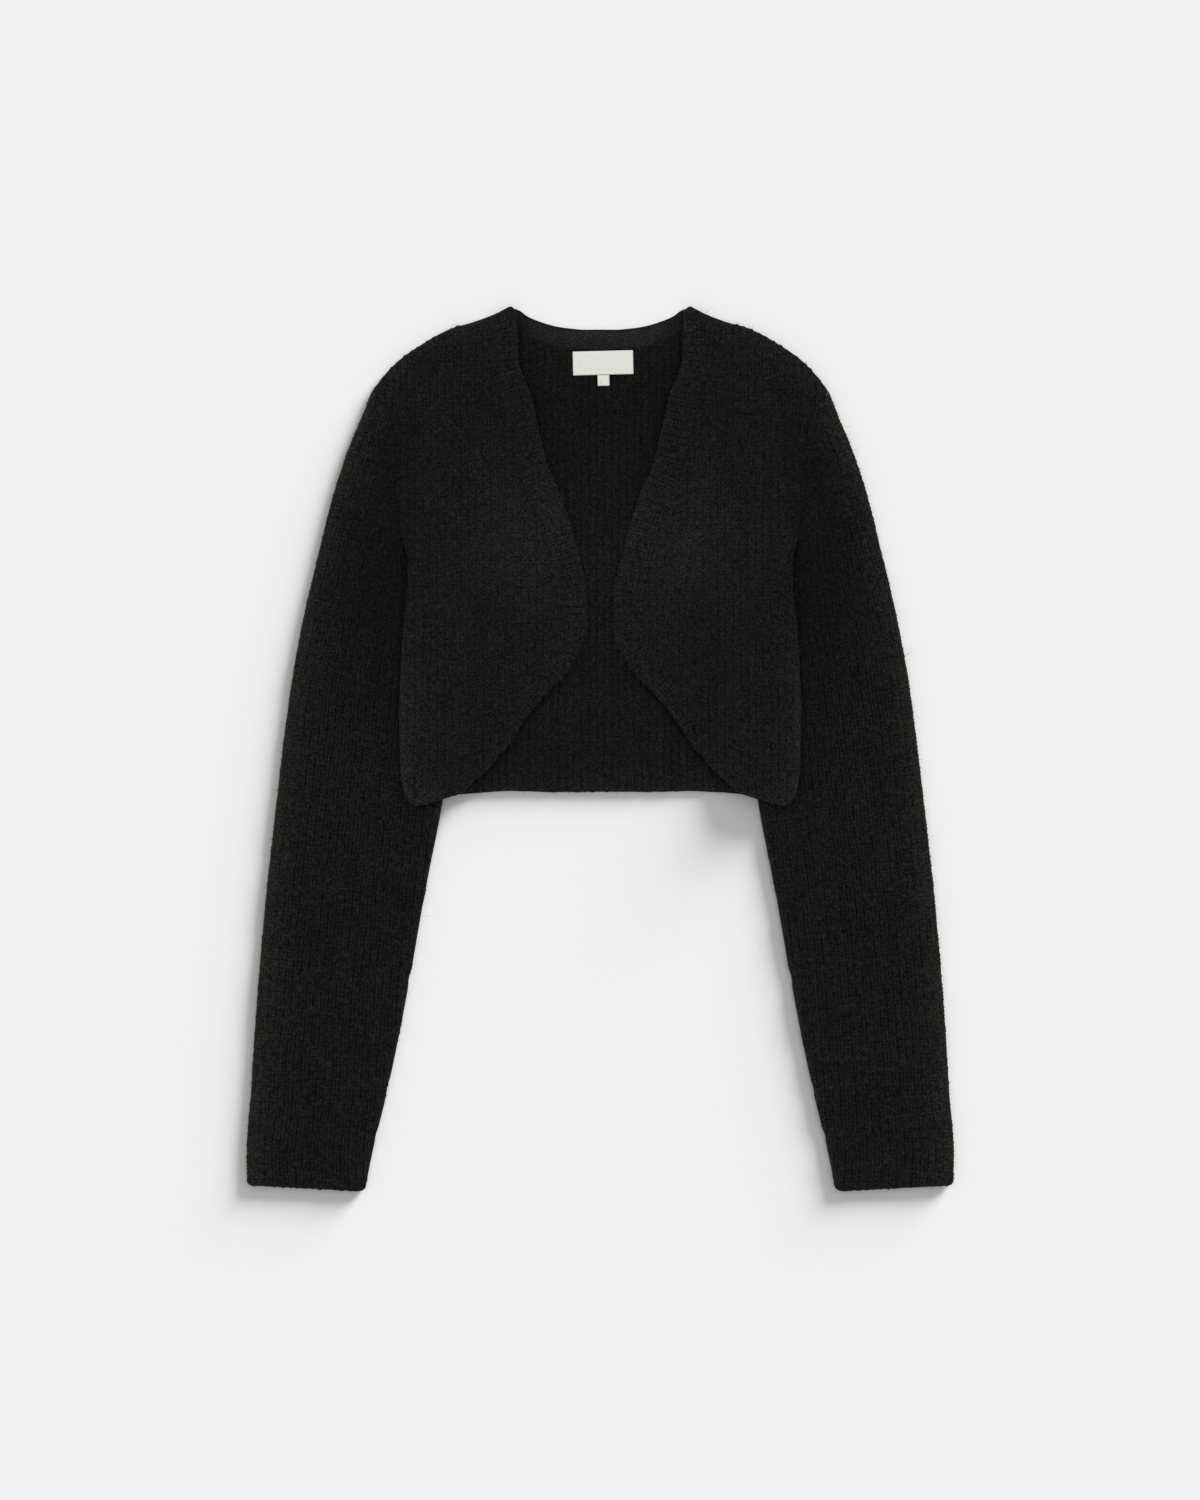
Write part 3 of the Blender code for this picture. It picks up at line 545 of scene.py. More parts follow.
@dataclass(frozen=True)
class Lie:
    """Heights of the cloth's layers above the floor, from the back panel upwards."""
    wall: float = 2.4  # cloth below the valleys of its ribs
    rib: float = 1.0  # a rib's crest above a plain wall
    rim: float = 1.2  # the cloth's thickness at its very edge
    gap: float = 0.3  # between layers that touch
    air: float = 0.9  # between back and front, away from their seams
    air_ramp: float = 14.0  # how far in from a seam that air has opened
    round: float = 4.2  # how far in from an edge the cloth is full
    lift: float = 2.6  # how far a front's free edge stands up
    lift_reach: float = 42.0  # how far in that lift has gone
    lift_fade: float = 60.0  # how far from the shoulder and the side it is full
    over_sleeve: float = 9.0  # underside of the body where it lies over a sleeve
    slope: float = 30.0  # width of the slope from the floor up to there
    slope_clear: float = 2.5  # how far inside the sleeve's fold that slope ends
    full_up: float = 150.0  # the body lies over the sleeve from here down
    none_up: float = 192.0  # and beside it from here up
    seam_open: float = 112.0  # the armhole's seam shows from here down
    seam_flat: float = 150.0  # and lies flat from here up
    side_roll: float = 1.8  # how much more gently the cloth rolls over at the side
    bead: float = 2.2  # how much thicker the back's hem is at its edge
    bead_reach: float = 8.0  # how far in that reaches

    @property
    def crest(self) -> float:
        """Top of a single layer of ribbed cloth that lies on the floor."""
        return self.wall + self.rib

    def rise(self, places: Array) -> Array:
        """How far the sleeve below lifts the body: a soft step across it, faded out upwards."""
        fold = SLEEVE_INNER.out_at(places[..., 1]) - self.slope_clear
        across = soft_step((places[..., 0] - fold + self.slope) / self.slope)
        return self.over_sleeve * across * ramp(places[..., 1], self.none_up, self.full_up)

    def flat_seam(self, places: Array) -> Array:
        """1 where the armhole's seam lies flat and hardly shows, 0 where it is open."""
        return ramp(places[..., 1], self.seam_open, self.seam_flat)

    def front(self, places: Array) -> Arrays:
        """How a front lies.

        It lies on the back with some air, which opens as a soft step away from the seams. It rises
        over the sleeve, and by a square towards its free edge. Its own edges are quarter rounds.

        Args:
            places: where.

        Returns:
            Its underside, its crest level, and its fullness: 0 at an edge, 1 inside.
        """
        shoulder = distance_to(places, SHOULDER_SEAM)
        side = distance_to(places, SIDE_SEAM)
        sewn = np.minimum(shoulder, side)
        free = distance_to(places, FREE)
        side = side / self.side_roll + self.round * self.flat_seam(places)
        full = quarter_round(np.minimum(np.minimum(shoulder, side), free), self.round)
        fall = np.clip(1.0 - free / self.lift_reach, 0.0, 1.0) ** 2
        below = soft_step((BODY_TOP_UP - places[..., 1]) / self.lift_fade)
        inside = soft_step((BODY_SIDE.out_at(places[..., 1]) - places[..., 0]) / self.lift_fade)
        low = self.crest + self.gap + self.air * soft_step(sewn / self.air_ramp)
        low = low + self.rise(places) + self.lift * fall * below * inside
        return low, low + self.rim + (self.crest - self.rim) * full, full

    def back(self, places: Array) -> Arrays:
        """How the back lies: on the floor and over the sleeves, with a beaded hem.

        Its loose edges are quarter rounds on their upper side, and its sewn ones on their lower.

        Args:
            places: where.

        Returns:
            Its underside, its crest level, and its fullness: 0 at a loose edge, 1 inside.
        """
        half = halved(places)
        rise = self.rise(half)
        hem = distance_to(half, HEM_LINE)
        sewn = quarter_round(distance_to(half, SEWN), self.round)
        full = quarter_round(np.minimum(hem, distance_to(half, NECK_LINE)), self.round)
        low = rise + (self.crest - self.rim) * (1.0 - sewn)
        high = rise + self.rim + (self.crest - self.rim) * full
        high = high + (rise + self.crest - high) * (1.0 - sewn)
        return low, high + self.bead * full * bell(hem, self.bead_reach), full


LIE = Lie()
PAINTED_SHADING = PaintedShading()


# ---- The knit ----

@dataclass(frozen=True)
class RibKnit:
    """The relief of one-by-one rib in thick brushed yarn.

    A place in the knit is (rib, course): how many ribs across and how many courses along it is.
    Crests lie at whole ribs. A stitch is a V, so its courses lie later beside the crest than on it.
    """
    pitch: float = 6.2  # from one rib to the next
    course: float = 3.25  # from one stitch to the next along a rib
    depth: float = 0.85  # from a crest down to a valley
    crest: float = 0.8  # the lower, the broader a rib's crest
    bead: float = 0.50  # share of a crest's height that dips between two stitches
    slant: float = 0.6  # courses by which a V's legs climb over one rib
    wander: float = 0.14  # how far a rib strays to the side, in ribs
    wander_run: float = 5.0  # along how many courses it does
    late: float = 0.12  # how early or late a stitch comes, in courses
    late_run: float = 2.0  # along how many courses that changes
    uneven: float = 0.25  # how much a stitch's height varies
    most: float = 1.25  # the highest relief
    tuft: float = 0.2  # height of the brushed lumps
    push: float = 1.5  # how far a stitch moves a free edge
    push_level: float = 0.6  # relief that leaves an edge where it is
    sway: float = 0.9  # how far slow waves move the ribs of the body's pieces
    droop: float = 1.2  # how far they move courses
    table: int = 211  # random numbers along each side of the stitches' table

    def noise(self, values: Array, rib: Array, course: Array) -> Array:
        """Smooth random values from -1 to 1 along each rib.

        Args:
            values: the table of random numbers that they join by soft steps.
            rib: ribs across, any shape.
            course: courses along, the same shape.

        Returns:
            The values, shaped like `rib`.
        """
        column = np.round(rib).astype(int) % self.table
        row = np.floor(course).astype(int)
        near = values[column, row % self.table]
        far = values[column, (row + 1) % self.table]
        return near + (far - near) * soft_step(course - row)

    def relief(self, rib: Array, course: Array, seed: int) -> Array:
        """Height of the yarn's surface, 0 in a valley and about 1 on a crest.

        Across a rib it is a power of a raised cosine, and along it a raised cosine of the V's
        course.

        Args:
            rib: ribs across, any shape.
            course: courses along, the same shape.
            seed: chooses how stitches vary.

        Returns:
            The relief, shaped like `rib`.
        """
        values = np.random.default_rng(seed).uniform(-1.0, 1.0, (self.table, self.table))
        beside = rib + self.wander * self.noise(values, rib, course / self.wander_run)
        off = beside - np.round(beside)
        crest = (0.5 + 0.5 * np.cos(math.tau * off)) ** self.crest
        late = course + self.late * self.noise(values.T, rib, course / self.late_run)
        stitch = 0.5 + 0.5 * np.cos(math.tau * (late - self.slant * np.abs(off)))
        size = 1.0 + self.uneven * self.noise(values, rib, course)
        return np.clip(crest * (1.0 - self.bead * (1.0 - stitch)) * size, 0.0, self.most)

    def pushes(self, relief: Array) -> Array:
        """How far the yarn moves a free edge: out where it is high, in where it is low."""
        return self.push * (relief - self.push_level)


KNIT = RibKnit()


# ---- Meshes ----

@dataclass(frozen=True)
class Cloth:
    """A finished piece: its object, the points of its upper face, and its area in plan."""
    piece: Object
    upper: Array
    area: float


@dataclass(frozen=True)
class Item:
    """What a piece is called, which half it is for (-1 mirrors it), and its finish."""
    name: str
    sign: float
    material: Material


@dataclass(frozen=True)
class Face:
    """One face of a piece."""
    places: Array  # (rows, columns, 2) array of (out, up)
    height: Array  # (rows, columns) heights
    knit: Arrays  # rib, course and painted light and shade, each (rows, columns)

    @property
    def points(self) -> Array:
        """The face's points, (rows, columns, 3)."""
        return np.concatenate([self.places, self.height[..., None]], axis=-1)


@dataclass
class Shell:
    """Grids of points and the strips that close them into one piece of cloth."""
    points: list[Array] = field(default_factory=list)  # arrays of (out, up, height), one for each grid
    knits: list[Array] = field(default_factory=list)  # arrays of (rib, course, painted light and shade), one for each grid
    faces: list[Array] = field(default_factory=list)  # arrays of faces, each three or four point numbers
    count: int = 0  # how many points there are so far

    def grid(self, face: Face) -> Array:
        """Adds a face's points and the four-sided faces between them.

        Args:
            face: the face.

        Returns:
            The points' numbers, (rows, columns).
        """
        ids = self.count + np.arange(face.height.size).reshape(face.height.shape)
        self.count += ids.size
        self.points.append(face.points.reshape(-1, 3))
        self.knits.append(np.stack(face.knit, axis=-1).reshape(-1, 3))
        quads = np.stack([ids[:-1, :-1], ids[:-1, 1:], ids[1:, 1:], ids[1:, :-1]], axis=-1)
        self.faces.append(quads.reshape(-1, 4))
        return ids

    def strip(self, row_a: Array, row_b: Array) -> None:
        """Fills between two rows of any number of points, which both run the same way.

        Both rows are walked by the share of their points passed. Sorting all those shares gives
        the order of the steps, and each step is a triangle to the other row's present point.

        Args:
            row_a: point numbers of one row.
            row_b: point numbers of the other.
        """
        last_a = len(row_a) - 1
        last_b = len(row_b) - 1
        shares = np.concatenate([np.arange(1, last + 1) / last for last in (last_a, last_b)])
        on_a = (np.arange(len(shares)) < last_a)[np.argsort(shares, kind="stable")]
        i = np.cumsum(on_a) - on_a
        j = np.cumsum(~on_a) - ~on_a
        step_a = np.stack([row_a[i], row_a[np.minimum(i + 1, last_a)], row_b[j]], axis=1)
        step_b = np.stack([row_a[i], row_b[np.minimum(j + 1, last_b)], row_b[j]], axis=1)
        self.faces.append(np.where(on_a[:, None], step_a, step_b))

    def close(self, upper: Array, lower: Array) -> None:
        """Closes the rim between an upper and a lower grid that share an outline."""
        for border in (np.s_[0], np.s_[-1], np.s_[:, 0], np.s_[:, -1]):
            self.strip(upper[border], lower[border])

    def build(self, item: Item) -> Object:
        """Makes the object: faces outwards, shaded smooth, with its knit places and painted light and shade
        as an attribute.

        Args:
            item: the piece to make.

        Returns:
            The object, at the origin, with its place in its mesh.
        """
        points = metres(np.concatenate(self.points), item.sign)
        faces = [face for block in self.faces for face in block.tolist()]
        mesh = bpy.data.meshes.new(item.name)
        mesh.from_pydata(points.tolist(), [], faces)
        work = bmesh.new()
        work.from_mesh(mesh)
        bmesh.ops.recalc_face_normals(work, faces=work.faces[:])
        if work.calc_volume(signed=True) < 0.0:
            bmesh.ops.reverse_faces(work, faces=work.faces[:])
        work.to_mesh(mesh)
        work.free()
        knit = mesh.attributes.new("knit", "FLOAT_VECTOR", "POINT")
        knit.data.foreach_set("vector", np.concatenate(self.knits).astype(np.float32).ravel())
        return show(item, mesh)


def metres(points: Array, sign: float) -> Array:
    """Points in metres, on the side of the middle line that the sign says."""
    return points * np.array([sign, 1.0, 1.0]) * MM


def show(item: Item, mesh: bpy.types.Mesh) -> Object:
    """Links a mesh to the scene as a smooth object with one material.

    Args:
        item: the piece to show.
        mesh: its mesh.

    Returns:
        The object.
    """
    mesh.shade_smooth()
    mesh.materials.append(item.material)
    piece = bpy.data.objects.new(item.name, mesh)
    bpy.context.scene.collection.objects.link(piece)
    return piece


def plate(item: Item, upper: Face, lower: Face, area: float) -> Cloth:
    """Builds a closed piece from two faces that share an outline.

    Args:
        item: the piece to build.
        upper: its upper face.
        lower: its underside.
        area: its area in plan.

    Returns:
        The piece.
    """
    shell = Shell()
    shell.close(shell.grid(upper), shell.grid(lower))
    return Cloth(shell.build(item), upper.points, area)


def pushed(places: Array, push: Array, depth: int = 3) -> Array:
    """Moves a grid's places away from its inside, by a push at each.

    The way out is the direction from the row or column `depth` steps in from the border, so places
    further in than that stay.

    Args:
        places: a grid of places.
        push: (rows, columns), how far each place moves.
        depth: in how many steps the effect has gone.

    Returns:
        The moved places.
    """
    way = np.zeros_like(places)
    for axis in (0, 1):
        turned = np.moveaxis(places, axis, 0)
        weight = np.clip(1.0 - np.arange(len(turned)) / depth, 0.0, 1.0)[:, None, None]
        out = weight * (turned[:1] - turned[depth:depth + 1])
        out = out + weight[::-1] * (turned[-1:] - turned[-depth - 1:-depth])
        way += np.moveaxis(out, 0, axis)
    size = np.linalg.norm(way, axis=-1, keepdims=True)
    way = way / np.maximum(size, 1e-6) * np.clip(size, 0.0, 1.0)
    return places + way * push[..., None]


# ---- Body pieces ----

@dataclass(frozen=True)
class Plan:
    """A grid of places, with the rib and the course of each."""
    places: Array
    rib: Array
    course: Array

    def face(self, height: Array, painted_shading: Array | float = 1.0, push: Array | None = None) -> Face:
        """The plan as a face with given heights and painted light and shade, its edges moved outwards by the
        push.
        """
        places = self.places if push is None else pushed(self.places, push)
        return Face(places, height, (self.rib, self.course, np.broadcast_to(painted_shading, height.shape)))


SWAY_SEED = 100            # added to a piece's seed for the waves that move its ribs
DROOP_SEED = 200           # and for those that move its courses


def strayed(places: Array, across: Array, along: Array, seed: int, sway: float) -> Plan:
    """The plan of cloth whose ribs and courses stray a little by slow waves.

    Args:
        places: a grid of places.
        across: distances across the ribs.
        along: distances along them.
        seed: the piece's seed.
        sway: how far the waves move a rib.

    Returns:
        The plan.
    """
    rib = (across + undulation(places, seed + SWAY_SEED, sway)) / KNIT.pitch
    course = (along + undulation(places, seed + DROOP_SEED, KNIT.droop)) / KNIT.course
    return Plan(places, rib, course)


def upright_knit(places: Array, seed: int) -> Plan:
    """The plan of cloth whose ribs run up and down."""
    return strayed(places, places[..., 0], places[..., 1], seed, KNIT.sway)


@dataclass
class Panel:
    """A piece of the body: its upper face carries the knit, and its underside is plain."""
    seed: int = 0  # chooses how its stitches and its swells vary
    share: float = 1.0  # how deep its ribs are, as a share of the usual depth
    unevenness: float = 0.25  # about the greatest height of its swells
    step: float = 1.05  # between the points of its upper face
    wide_step: float = 3.1  # between those of its underside

    def plan(self, fine: bool) -> Plan:
        """The piece's places: close ones for its upper face, or wider ones for its underside."""
        raise NotImplementedError

    def heights(self, places: Array) -> Arrays:
        """The underside, the crest level and the fullness at places."""
        return LIE.front(places)

    def swell(self, places: Array) -> Array:
        """What creases and unevenness add to the upper face's height."""
        return undulation(places, self.seed, self.unevenness)

    def painted_shading(self, places: Array) -> Array:
        """Its painted light and shade."""
        return PAINTED_SHADING.front(places)

    def build(self, item: Item) -> Cloth:
        """Builds the closed piece.

        The upper face is the crest level, less the rib's depth where the relief is low. Close to
        an edge, the relief also moves the outline.

        Args:
            item: the piece to build.

        Returns:
            The piece, its upper face and its area.
        """
        fine = self.plan(True)
        relief = 1.0 - self.share * (1.0 - KNIT.relief(fine.rib, fine.course, self.seed))
        _, high, full = self.heights(fine.places)
        swell = self.swell(fine.places) + KNIT.tuft * tufts(fine.places, self.seed)
        height = high + (swell - KNIT.depth * (1.0 - relief)) * full
        # painted shade in the valleys, on the piece's painted light and shade
        painted_shading = PAINTED_SHADING.with_valley_shade(relief, self.painted_shading(fine.places))
        upper = fine.face(height, painted_shading, KNIT.pushes(relief) * (1.0 - full))
        wide = self.plan(False)
        lower = wide.face(self.heights(wide.places)[0])
        return plate(item, upper, lower, plan_area(fine.places))


@dataclass(frozen=True)
class Rows:
    """Rows of a body panel from its top edge to its hem.

    Between two levels the rows are level. Above, they bend step by step to the top edge, and
    below, to the hem.
    """
    top: Curve  # gives the top edge's height at a distance out
    hem: Curve  # gives the hem's height
    upper: float = 258.0  # height of the highest level row
    lower: float = -6.0  # height of the lowest one
    top_depth: float = 92.0  # rough height of the part above the levels
    hem_depth: float = 34.0  # and of the part below
    turns: int = 40  # steps that find where a row meets an edge
    side_guess: float = 165.0  # roughly how far out the side is

    def depths(self, step: float) -> Array:
        """Depths of rows about a step apart, from the top edge down."""
        return spread(0.0, self.top_depth + self.upper - self.lower + self.hem_depth, step)

    def up(self, depth: Array, out: Array) -> Array:
        """Height of the rows.

        Args:
            depth: how deep each is, from the top edge down.
            out: distances out, the same shape.

        Returns:
            The level's height, plus its share of the way to the top edge or to the hem.
        """
        top_share = np.clip(1.0 - depth / self.top_depth, 0.0, 1.0)
        below = depth - self.top_depth
        level = self.upper - np.clip(below, 0.0, self.upper - self.lower)
        hem_share = np.clip((below - self.upper + self.lower) / self.hem_depth, 0.0, 1.0)
        level = level + top_share * (self.top(out) - self.upper)
        return level + hem_share * (self.hem(out) - self.lower)

    def meet(self, depth: Array, edge: Curve, guess: float) -> Array:
        """Where each row meets an edge, found by stepping half way to it again and again.

        Args:
            depth: the rows' depths.
            edge: gives how far out the edge is at a height.
            guess: roughly how far out it is.

        Returns:
            How far out each row meets it.
        """
        out = np.full(len(depth), guess)
        for _ in range(self.turns):
            out = 0.5 * out + 0.5 * edge(self.up(depth, out))
        return out

    def side(self, depth: Array) -> Array:
        """How far out each row meets the body's side."""
        return self.meet(depth, BODY_SIDE.out_at, self.side_guess)

    def places(self, depth: Array, out: Array) -> Array:
        """(rows, columns, 2) places of rows at given distances out."""
        up = self.up(np.broadcast_to(depth[:, None], out.shape), out)
        return np.stack([out, up], axis=-1)


@dataclass
class Band(Panel):
    """The picked-up rib band along a front's V edge, which fades into the front's lower curve."""
    share: float = 0.55
    width: float = 24.0  # from the free edge to the seam
    fade_start: float = 315.0  # how far along the free edge it starts to narrow
    fade_end: float = 412.0  # where it has narrowed to nothing
    tip: float = 2.2  # its width where it ends
    cut_blend: float = 26.0  # the stretch over which its rows turn from the shoulder line
    half_gap: float = 0.06  # from the seam line to the band, and to the front
    edge_step: float = 2.0  # between the points of the free edge that it follows

    def __post_init__(self) -> None:
        """Works out the free edge, the way in from it, and the width along it."""
        self.edge = OPENING.down_line(self.edge_step)
        self.run = run_along(self.edge)
        tangent = np.gradient(self.edge, axis=0)
        tangent /= np.linalg.norm(tangent, axis=1)[:, None]
        self.inward = np.column_stack([-tangent[:, 1], tangent[:, 0]])
        self.widths = self.width * (1.0 - ramp(self.run, self.fade_start, self.fade_end))
        self.length = float(self.run[np.argmax(self.widths < self.tip)])

    def seam_out(self, up: Array) -> Array:
        """How far out the seam is at a height."""
        seam = self.edge + self.inward * self.widths[:, None]
        order = np.argsort(seam[:, 1])
        return np.interp(up, seam[order, 1], seam[order, 0])

    def plan(self, fine: bool) -> Plan:
        """Rows across the band, from the free edge to the seam; its ribs run along them.

        Args:
            fine: whether the places are close.

        Returns:
            The plan. Near the shoulder, its rows turn into the shoulder line.
        """
        step = self.step if fine else self.wide_step
        at = spread(0.0, self.length, step)
        share = spread(0.0, 1.0, step / self.width)
        start, ahead = (
            np.column_stack([np.interp(at, self.run, line[:, k]) for k in (0, 1)])
            for line in (self.edge, self.inward))
        across = (np.interp(at, self.run, self.widths) - self.half_gap)[:, None] * share
        places = start[:, None] + ahead[:, None] * across[..., None]
        blend = np.clip(1.0 - at / self.cut_blend, 0.0, 1.0)[:, None]
        places[..., 1] += (SHOULDER.up_at(places[..., 0]) - OPENING_TOP_UP) * blend
        rib = np.broadcast_to(at[:, None] / KNIT.pitch, across.shape)
        return Plan(places, rib, -across / KNIT.course)


@dataclass
class Front(Panel):
    """One front: ribs run up and down it, from the shoulder to its rounded lower edge."""
    unevenness: float = 0.35
    band: Band = field(default_factory=Band)  # the band along it, which gives its seam
    rows: Rows = field(default_factory=lambda: Rows(SHOULDER.up_at, FRONT_HEM.up_at))  # its rows
    seam_guess: float = 90.0  # roughly how far out that seam is
    width: float = 146.0  # rough width, which sets how many columns it has
    step: float = 1.06

    def plan(self, fine: bool) -> Plan:
        """Rows from the band's seam to the side.

        Args:
            fine: whether the places are close.

        Returns:
            The plan.
        """
        step = self.step if fine else self.wide_step
        depth = self.rows.depths(step)
        start = self.rows.meet(depth, self.band.seam_out, self.seam_guess) + self.band.half_gap
        end = self.rows.side(depth)
        out = start[:, None] + spread(0.0, 1.0, step / self.width) * (end - start)[:, None]
        return upright_knit(self.rows.places(depth, out), self.seed)

    def swell(self, places: Array) -> Array:
        """The front's creases and a slow unevenness."""
        return super().swell(places) + creased(FRONT_CREASES, places)


@dataclass
class NeckBand:
    """The fine, smooth band along the inside of the back neck."""
    drop: float = 17.0  # its height
    half: float = 73.0  # how far it reaches to each side
    stitch: Pair = (1.6, 1.3)  # width and height of a stitch
    sink: float = 0.45  # how far it lies below the ribs' crests
    seam_sink: float = 0.3  # how much deeper its lower edge is drawn in
    seam_width: float = 1.6  # how far up that reaches
    dim: float = 0.48  # how much darker its ends are, in the fronts' shade
    dim_out: Pair = (34.0, 70.0)  # where that sets in and is full
    rim: float = 0.70  # how much darker its rolled upper edge is, painted shade
    rim_width: float = 2.2  # how far down that reaches
    foot: float = 0.30  # how much darker its lower part is, painted shade
    step: float = 1.0  # between its points

    def top(self, out: Array) -> Array:
        """Height of the band's upper edge, which is the neck's edge."""
        return NECK.up_at(np.abs(out))

    def build(self, item: Item) -> Cloth:
        """Builds the band: smooth, sunk a little below the ribs, and drawn in at its seam.

        Args:
            item: the piece to build.

        Returns:
            The piece, its upper face and its area.
        """
        out, down = np.meshgrid(spread(-self.half, self.half, self.step), spread(0.0, self.drop, self.step))
        places = np.stack([out, self.top(out) - down], axis=-1)
        low, high, _ = LIE.back(places)
        height = high - self.sink - self.seam_sink * bell(self.drop - down, self.seam_width)
        # painted shade: ends darker in the fronts' shade, a darker rolled upper edge and a darker lower part
        dim = 1.0 - self.dim * ramp(np.abs(out), *self.dim_out)
        dim = dim * (1.0 - self.rim * bell(down, self.rim_width))
        dim = dim * (1.0 - self.foot * soft_step(down / self.drop))
        knit = Plan(places, out / self.stitch[0], down / self.stitch[1])
        return plate(item, knit.face(height, dim), knit.face(low, dim), plan_area(places))


@dataclass
class Back(Panel):
    """The back: its inner side shows between the fronts, and its underside rests on the floor."""
    neck_band: NeckBand = field(default_factory=NeckBand)  # the band along its neck
    step: float = 1.22
    side_step: float = 3.1  # between columns under the fronts
    wide_step: float = 3.4
    shown: float = 112.0  # it shows up to this far from the middle
    beside: float = 58.0  # rough width of the part beyond that
    notch: float = 0.3  # width of the steps beside the neck band
    sink: float = 0.25  # how far it stays below its crest level, for the fronts that lie on it

    def top(self, out: Array) -> Array:
        """The back's top: the shoulder line, cut down below the neck band."""
        neck = self.neck_band.top(out) - self.neck_band.drop - LIE.gap
        beside = np.abs(out) > self.neck_band.half + 1.5 * self.notch
        return np.where(beside, SHOULDER.up_at(np.abs(out)), neck)

    def hem(self, out: Array) -> Array:
        """The back's hem."""
        return BACK_HEM.up_at(np.abs(out))

    def plan(self, fine: bool) -> Plan:
        """Rows from side to side: close columns where the back shows, wider ones beside.

        Args:
            fine: whether the places are close.

        Returns:
            The plan. Two of its columns on each side make the steps beside the neck band.
        """
        rows = Rows(self.top, self.hem)
        step = self.step if fine else self.wide_step
        depth = rows.depths(step)
        cut = self.neck_band.half + self.notch * np.array([1.0, 2.0])
        inner = np.sort(np.concatenate([spread(0.0, self.shown, step), cut]))
        share = spread(0.0, 1.0, (self.side_step if fine else self.wide_step) / self.beside)[1:]
        outer = self.shown + share * (rows.side(depth) - self.shown)[:, None]
        half = np.concatenate([np.broadcast_to(inner, (len(depth), len(inner))), outer], axis=1)
        out = np.concatenate([-half[:, :0:-1], half], axis=1)
        return upright_knit(rows.places(depth, out), self.seed)

    def heights(self, places: Array) -> Arrays:
        """The underside, the crest level and the fullness of the back."""
        return LIE.back(places)

    def swell(self, places: Array) -> Array:
        """The back's creases, which only go down, because the fronts lie on it."""
        return np.minimum(creased(BACK_CREASES, halved(places)), 0.0) - self.sink

    def painted_shading(self, places: Array) -> Array:
        """The painted light and shade of its inner side."""
        return PAINTED_SHADING.back(places)


# ---- Sleeves ----

